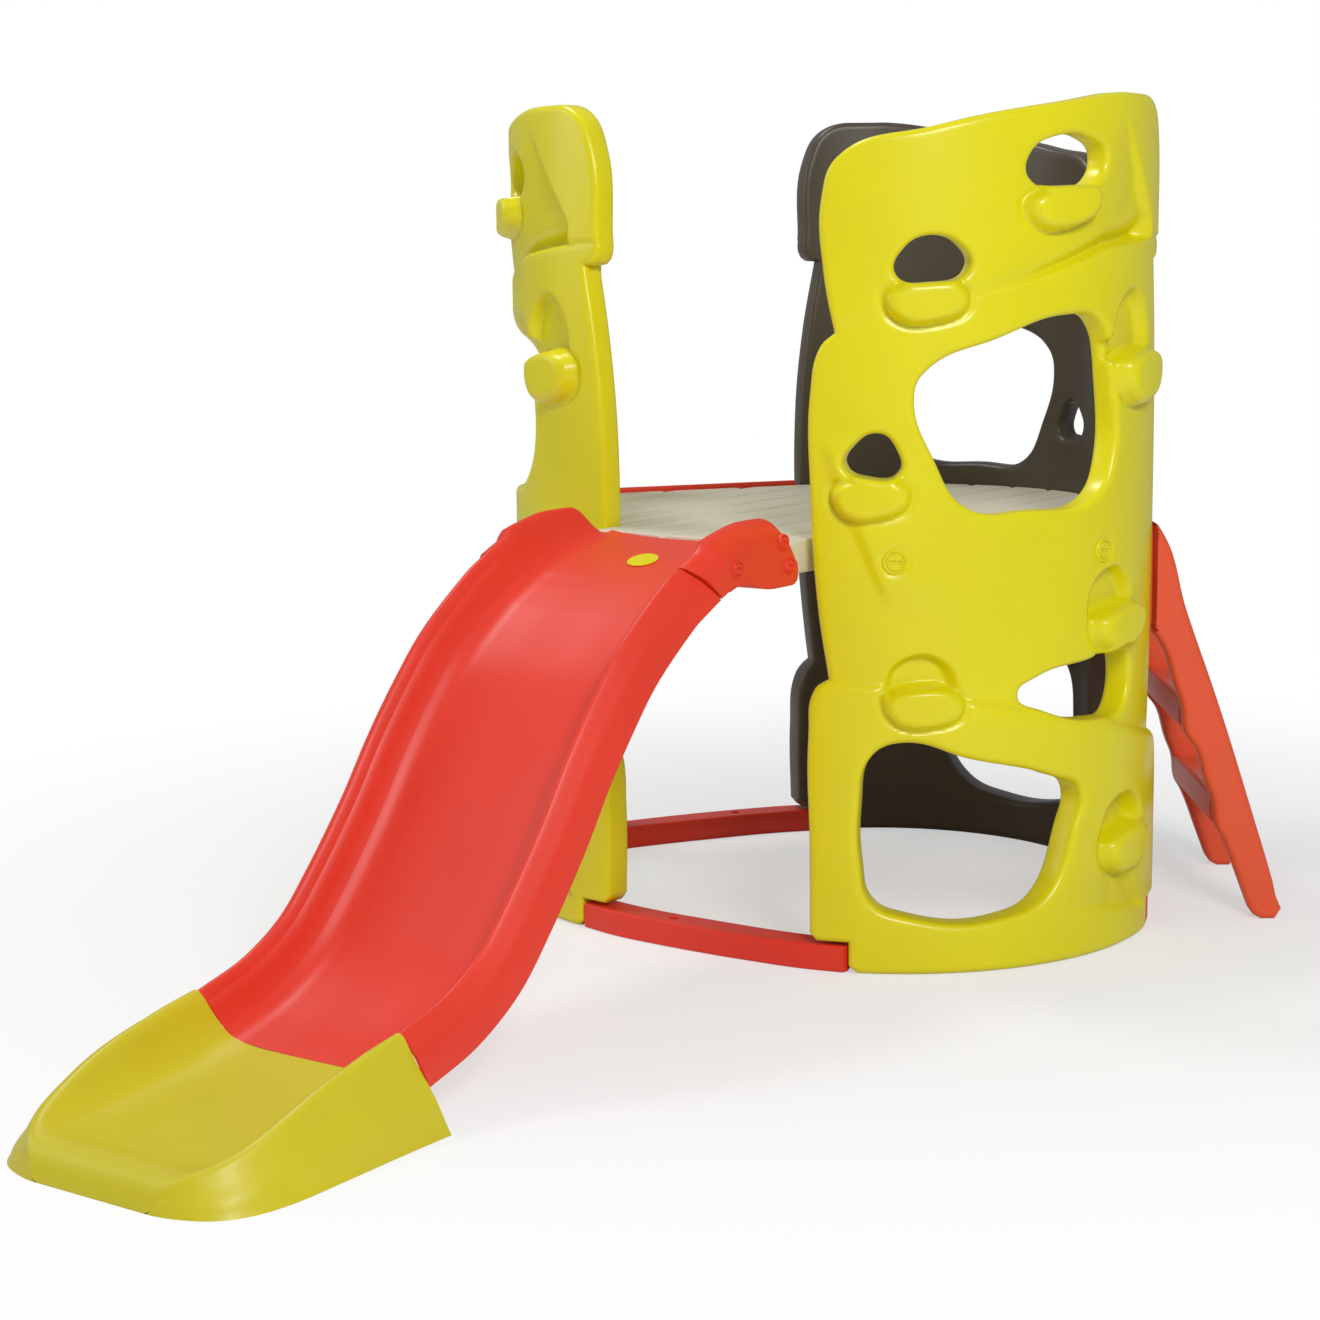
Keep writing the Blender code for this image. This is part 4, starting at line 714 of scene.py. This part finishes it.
def chute_rings():
    """Head rings from the tongue's arc on the platform down to the seam, then lip rings to the end."""
    tip = whole_section(refined(head_half(0.0008, 0.928)))
    out = np.sqrt(TONGUE_RADIUS ** 2 - tip[:, 0] ** 2)
    rings = [np.column_stack([out, tip[:, 0], tongue_top(out) + tip[:, 1]])]
    width = np.interp(HEAD_OUT, [HEAD_START, 0.573], [0.928, 1.0])
    sections = [whole_section(refined(head_half(max(crest_rise(o, s), 0.0008), w)))
                for o, s, w in zip(HEAD_OUT, HEAD_SLOPE, width)]
    rings += list(along_path(HEAD_PATH, HEAD_SLOPE, np.stack(sections)))
    rings += up_to_seam(whole_section(refined(head_half(LIP_DEPTH))), HEAD_ROW, 0.0012)
    rings += up_to_seam(whole_section(refined(lip_half(LIP_DEPTH))), HEAD_ROW, 0.0, 1)
    pick = np.flatnonzero(BED[:, 0] > 0.838)[::7]
    depth = np.interp(BED[pick, 0], [0.80, 1.20, 1.50], [LIP_DEPTH, 0.077, 0.078])
    sections = np.stack([whole_section(refined(lip_half(d))) for d in depth])
    rings += list(along_path(BED[pick], BED_SLOPE[pick], sections))
    rings.append(along_path(BED[-1:], BED_SLOPE[-1:], sections[-1:])[0])
    return np.array(rings)


# The skirt's foot is the 15th span's end, so point 45 of the refined section
points, faces = skin(chute_rings(), corner=45)
add_piece("slide_chute_skin", points + AXIS, faces, RED, "slide_chute", sharp=38)


# Slide foot
# The lime run-out is a scooped bowl of polyethylene, duller and greener than the walls. Its lips run
# down and close round the front, and an apron flares from them to the floor on every side.
FOOT_LIME = moulded_plastic("lime_foot_polyethylene", "#D2C41A", 0.42)
# Tables of (out, height) of the bed and of the lips' crest, then of (out, half width) of the crest and
# of the floor line
FOOT_BED = [
    (1.4955, 0.0698), (1.560, 0.0560), (1.630, 0.0460), (1.700, 0.0400), (1.780, 0.0365), (1.825, 0.0372),
    (1.850, 0.0410), (1.868, 0.0442), (1.880, 0.0440), (1.892, 0.0405), (1.903, 0.0315), (1.911, 0.0190),
    (1.917, 0.0050)]
FOOT_CREST = [
    (1.4955, 0.1462), (1.600, 0.1320), (1.680, 0.1170), (1.740, 0.0995), (1.780, 0.0850), (1.820, 0.0705),
    (1.850, 0.0600), (1.868, 0.0530), (1.880, 0.0488), (1.892, 0.0422), (1.903, 0.0322), (1.911, 0.0194),
    (1.917, 0.0052)]
FOOT_CREST_HALF = [
    (1.4955, 0.190), (1.700, 0.190), (1.780, 0.185), (1.830, 0.175), (1.860, 0.161), (1.885, 0.140),
    (1.905, 0.117), (1.917, 0.100)]
FOOT_HALF = [
    (1.4955, 0.246), (1.560, 0.244), (1.690, 0.240), (1.800, 0.233), (1.850, 0.219), (1.880, 0.199),
    (1.898, 0.175), (1.909, 0.148), (1.9145, 0.128), (1.917, 0.112)]


def foot_rings():
    """Sections of the foot at distances out, leaning back like the chute's end at first, and drifting
    12 mm to one side, as the foot stands a little askew on the chute. Under the front rim the open
    underside closes to the floor."""
    out = np.concatenate([np.linspace(1.4962, 1.80, 60), np.linspace(1.804, 1.900, 40),
                          np.linspace(1.9015, 1.917, 14)])
    bed, crest = table(FOOT_BED, out), table(FOOT_CREST, out)
    half, inner = table(FOOT_HALF, out), table(FOOT_CREST_HALF, out)
    rise, flare, zero = crest - bed, half - inner, np.zeros_like(out)
    top = [(zero, bed), (0.32 * inner, bed + 0.004 * rise), (0.56 * inner, bed + 0.03 * rise),
           (0.70 * inner, bed + 0.10 * rise), (0.79 * inner, bed + 0.22 * rise),
           (0.875 * inner, bed + 0.52 * rise), (0.93 * inner, bed + 0.80 * rise),
           (0.965 * inner, bed + 0.94 * rise), (inner, crest), (inner + 0.008, crest * 0.985),
           (inner + 0.10 * flare + 0.008, crest * 0.90), (inner + 0.45 * flare, 0.66 * crest),
           (inner + 0.75 * flare, 0.38 * crest), (half - 0.005, 0.12 * crest), (half, zero)]
    low = [(half - 0.005, zero), (half - 0.011, 0.12 * crest), (inner + 0.45 * flare - 0.006, 0.60 * crest),
           (inner + 0.003, 0.85 * crest), (0.94 * inner, 0.82 * crest),
           (0.85 * inner, 0.80 * bed + 0.38 * rise), (0.73 * inner, 0.62 * bed + 0.06 * rise),
           (0.54 * inner, 0.60 * bed), (zero, 0.58 * bed)]
    hollow = 1 - ease(out, 1.880, 1.904)
    low = [(side, height * hollow) for side, height in low]
    half_line = np.stack([np.stack(pair, -1) for pair in top + low], 1)
    halves = np.stack([refined(line) for line in half_line])
    sections = np.concatenate([halves, halves[:, -2:0:-1] * (-1, 1)], 1)
    sections[..., 0] += 0.012 * ease(out, 1.50, 1.88)[:, None]
    back = -BED_SLOPE[-1, 1] / BED_SLOPE[-1, 0] * np.clip((1.62 - out) / (1.62 - 1.4955), 0, None)
    reach = out[:, None] + back[:, None] * (sections[..., 1] - bed[:, None])
    return np.stack([reach, sections[..., 0], sections[..., 1]], -1)


points, faces = skin(foot_rings(), corner=42)
add_piece("slide_foot_skin", points + AXIS, faces, FOOT_LIME, "slide_foot", sharp=40)


# Brackets
# Two red injection-moulded cheeks clamp the tongue to the platform's nose. Each has a broad bevel
# along its top and three coin-slot screws in its outer face.
BRACKET_LOW = [(0.5625, 0.690), (0.5640, 0.668), (0.570, 0.659), (0.588, 0.655), (0.629, 0.655),
               (0.675, 0.660), (0.705, 0.669), (0.727, 0.670), (0.752, 0.664), (0.7747, 0.6567)]


def bracket_section(out, slope, rise):
    """Section of a bracket over the bed at a distance out, as (side, height over the bed): a flat
    cheek and a slanted top facet outside the crest, and a plain inner side under the slide's head."""
    low = (float(table(BRACKET_LOW, out)) - float(tongue_top(out))) / slope[0]
    facet = min(0.45 * (rise - low), 0.0290)
    line = np.array([
        (0.2245, low), (0.2265, low + 0.003), (0.2263, rise - 1.5 * facet), (0.2256, rise - facet - 0.004),
        (0.2235, rise - facet), (0.2165, rise - 0.62 * facet), (0.2035, rise - 0.17 * facet),
        (0.1980, rise - 0.0022), (0.1930, rise - 0.0007), (0.1890, rise - 0.0005), (0.1876, rise - 0.0040),
        (0.1868, rise - 0.0100), (0.1845, 0.60 * rise), (0.1775, 0.20 * rise), (0.1712, -0.0030),
        (0.1695, -0.006), (0.1695, low + 0.003), (0.1715, low)])
    line[:, 1] = np.clip(line[:, 1], low, max(rise, low + 0.002))
    return line


def bracket_rings(hand):
    """Bracket sections from its rounded rear end to its slanted seam with the chute."""
    sections = np.stack([bracket_section(o, s, crest_rise(o, s)) for o, s in zip(HEAD_OUT, HEAD_SLOPE)])
    rings = list(along_path(HEAD_PATH, HEAD_SLOPE, sections))
    rings += up_to_seam(bracket_section(0.7720, HEAD_SLOPE[-1], LIP_DEPTH), HEAD_ROW, 0.00245)
    return np.array(rings) * (1, hand, 1)


for hand, label in ((1, "left"), (-1, "right")):
    points, faces = skin(bracket_rings(hand))
    add_piece(f"bracket_skin_{label}", points + AXIS, faces, RED, f"slide_bracket_{label}",
              sharp=34)


# Bolts and screws
# Moulded nylon heads in the colour of what they hold: a raised ring round a low button with a slot
# for a coin. The wall bolts' heads are 41 mm across and the bracket screws' 29 mm.
def coin_head(radius, ring=0.0024, slot=0.0018):
    """Rings of a coin-slot head about its own axis: a raised rim outside four fifths of the radius and
    a button inside two thirds of it, both a ring's height over the carrier, less a slot across."""
    reach = radius * np.concatenate([
        [0.01], np.linspace(0.05, 0.68, 22), np.linspace(0.70, 0.985, 16), [1.0, 1.0, 0.98]])
    angle = np.linspace(0, 2 * math.pi, 96, endpoint=False)
    x, y = reach[:, None] * np.cos(angle), reach[:, None] * np.sin(angle)
    share = reach[:, None] / radius
    groove = ease(share, 0.63, 0.69) * (1 - ease(share, 0.76, 0.82))
    cut = (1 - ease(np.abs(y), slot, slot + 0.0007)) * (1 - ease(np.abs(x), 0.50 * radius, 0.56 * radius))
    height = ring * (1 - ease(share, 0.93, 1.0)) * (1 - np.maximum(0.92 * groove, 0.92 * cut))
    height[-2:] = -0.0030
    return np.stack([x, y, height + 0 * x], -1)


def stand_on(rings, place, out, across):
    """Put rings with their own axis along out at a place, with the slot along across."""
    third = np.cross(out, across)
    return rings[..., :1] * across + rings[..., 1:2] * third + rings[..., 2:] * out + place


for label, (paint, slot) in WALL_FINISH.items():
    x, y, degrees = WALL_ARCS[label]
    for letter, along in WALL_BOLTS.items():
        angle = math.radians(degrees) + along / WALL_RADIUS
        out = np.array([math.cos(angle), math.sin(angle), 0])
        level = np.array([-math.sin(angle), math.cos(angle), 0])
        seat = float(wall_front(np.array([along]), np.array([BOLT_LEVEL]))[0])
        place = AXIS + np.array([x, y, BOLT_LEVEL]) + (WALL_RADIUS + 0.0008 + seat) * out
        points, faces = skin(stand_on(coin_head(0.0205, 0.0030, 0.0021), place, out, level))
        add_piece(f"wall_bolt_head_{label}_{letter}", points, faces, paint, f"wall_bolt_{label}_{letter}",
                  sharp=30)

# Three screws a bracket as (out, height); their slots rise outwards by 20 degrees
BRACKET_SCREWS = [(0.601, 0.727), (0.584, 0.688), (0.733, 0.698)]
for hand, label in ((1, "left"), (-1, "right")):
    for number, (out, height) in enumerate(BRACKET_SCREWS, 1):
        rings = stand_on(coin_head(0.0143), AXIS + np.array([out, hand * 0.2268, height]),
                         np.array([0.0, hand, 0.0]), np.array([0.94, 0.0, 0.34]))
        points, faces = skin(rings)
        add_piece(f"bracket_screw_head_{label}_{number}", points, faces, RED,
                  f"bracket_screw_{label}_{number}", sharp=30)


# Ladder
# Two stringers and three steps in orange-red plastic. The stringers are 45 mm thick with a scalloped
# inner edge and a toe that runs out along the floor, and the steps' ends go into them.
ORANGE = moulded_plastic("orange_polyethylene", "#EA5630", 0.36)
EDGE_TOP, EDGE_FOOT = (0.5225, 0.699), (0.7315, 0.071)
STRINGER = [
    (0.4580, 0.7155, "c"), (0.505, 0.7155), EDGE_TOP, (0.570, 0.555), (0.632, 0.381), (0.695, 0.187),
    EDGE_FOOT, (0.743, 0.030), (0.756, 0.0120), (0.778, 0.0085), (0.782, 0.004), (0.780, 0.0, "c"),
    (0.705, 0.0, "c"), (0.694, 0.014), (0.683, 0.040), (0.671, 0.072), (0.641, 0.148), (0.6295, 0.168),
    (0.622, 0.216), (0.608, 0.253), (0.591, 0.309), (0.571, 0.338), (0.564, 0.386), (0.550, 0.427),
    (0.528, 0.493), (0.508, 0.519), (0.478, 0.532), (0.4580, 0.560, "c"),
]


def turned_about(points, turn):
    """Turn points about the tower's axis and put them in the row's frame."""
    return AXIS + np.column_stack([in_plan(turn, *points.T[:2]), points[:, 2]])


stringer, stringer_faces = panel(
    [closed_curve(STRINGER)], (0.011,), 0.0048, level_face(0.228), level_face(0.183), (5, 1, 5))
# Between a wall's edge and the deck's nose it is only 20 mm thick
stringer[:, 2] = np.where(stringer[:, 0] < 0.513, np.minimum(stringer[:, 2], 0.2032), stringer[:, 2])
for hand, label in ((1, "rear"), (-1, "front")):
    points = np.column_stack([stringer[:, 0], hand * stringer[:, 2], stringer[:, 1]])
    faces = [face[::-1] for face in stringer_faces] if hand == 1 else stringer_faces
    add_piece(f"ladder_stringer_skin_{label}", turned_about(points, LADDER_TURN), faces, ORANGE,
              f"ladder_stringer_{label}", sharp=50)


def step_rings(top):
    """Step section of 60 by 46 mm with rounded edges and a ridge on its tower side, carried across."""
    middle = top - 0.023
    lean = (EDGE_FOOT[0] - EDGE_TOP[0]) / (EDGE_TOP[1] - EDGE_FOOT[1])
    out = EDGE_TOP[0] + lean * (EDGE_TOP[1] - middle) - 0.037
    line = closed_curve([
        (-0.030, 0.018), (-0.0285, 0.0245), (-0.0235, 0.026), (-0.018, 0.0255), (-0.013, 0.0232),
        (0.0, 0.023), (0.022, 0.023), (0.0285, 0.0215), (0.030, 0.016), (0.030, -0.016),
        (0.0285, -0.0215), (0.022, -0.023), (-0.022, -0.023), (-0.0285, -0.0215), (-0.030, -0.016)], 4)
    side = np.linspace(-0.1835, 0.1835, 9)
    return np.stack([np.column_stack([out + line[:, 0], np.full(len(line), s), middle + line[:, 1]])
                     for s in side])


for number, top in enumerate((0.217, 0.390, 0.563), 1):
    points, faces = skin(step_rings(top))
    add_piece(f"ladder_step_skin_{number}", turned_about(points, LADDER_TURN), faces, ORANGE,
              f"ladder_step_{number}", sharp=50)


# Ground beams
# Red bars on the floor tie the walls' feet together under the three openings, each slightly bowed
# with a peg hole through it.
FOOT_NOTCH = 0.328  # half the width of a wall's foot, between the notches that take the beams


def wall_foot(label, side):
    """Plan corners of a wall's foot beside an opening, outer then inner."""
    x, y, degrees = WALL_ARCS[label]
    angle = math.radians(degrees) + side * (FOOT_NOTCH + 0.0008) / WALL_RADIUS
    radius = np.array([WALL_RADIUS, WALL_RADIUS - WALL_THICK])
    return np.stack([x + radius * math.cos(angle), y + radius * math.sin(angle)], -1)


def beam_plan(first, last):
    """Plan outline of a beam between two wall feet, and its peg hole."""
    feet = [wall_foot(*first), wall_foot(*last)]
    middle = (feet[0][0] + feet[1][0]) / 2
    across = (feet[1][0] - feet[0][0]) / np.linalg.norm(feet[1][0] - feet[0][0])
    away = np.array([across[1], -across[0]])
    halves = []
    for outer, inner in feet:
        ends = [((spot - middle) @ away, (spot - middle) @ across)
                for spot in (inner, outer + (outer - inner) * 0.1, outer)]
        halves.append([(-0.0308, ends[0][1] * 0.6), (*ends[0], "c"), (*ends[1], "c"),
                       (0.0232, ends[2][1] * 0.72), (0.0316, ends[2][1] * 0.35)])
    line = closed_curve([(-0.026, 0.0)] + halves[1] + [(0.034, 0.0)] + halves[0][::-1])
    angle = np.linspace(0, 2 * math.pi, 24, endpoint=False)
    hole = np.stack([0.004 + 0.009 * np.cos(angle), -0.077 + 0.009 * np.sin(angle)], -1)
    return [middle + curve[:, :1] * away + curve[:, 1:] * across for curve in (line, hole)]


for label, first, last in (("slide", ("left", 1), ("front", -1)), ("ladder", ("front", 1), ("rear", -1)),
                           ("rear", ("rear", 1), ("left", -1))):
    points, faces = panel(beam_plan(first, last), (0.0045, 0.0015), 0.0040, level_face(0.045),
                          level_face(0.0), (4, 1, 2))
    add_piece(f"{label}_beam_skin", points + AXIS, faces, RED, f"{label}_ground_beam",
              sharp=50)


# Small parts
# The lime outlet plug and the red bar along the platform's rear edge are polyethylene like the rest.
# The hose connector under the slide and the hidden screws and bolts are satin grey nylon.
GREY = moulded_plastic("grey_nylon", "#6F7276", 0.45)
OWN_COLOURS = {"rear_edge_trim": RED, "water_plug": LIME}
for name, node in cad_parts.items():
    hidden = name.startswith(("hose_spigot", "foot_screw", "ladder_bolt")) or "beam_screw" in name
    if hidden or name in OWN_COLOURS:
        node.data.materials.clear()
        node.data.materials.append(OWN_COLOURS.get(name, GREY))
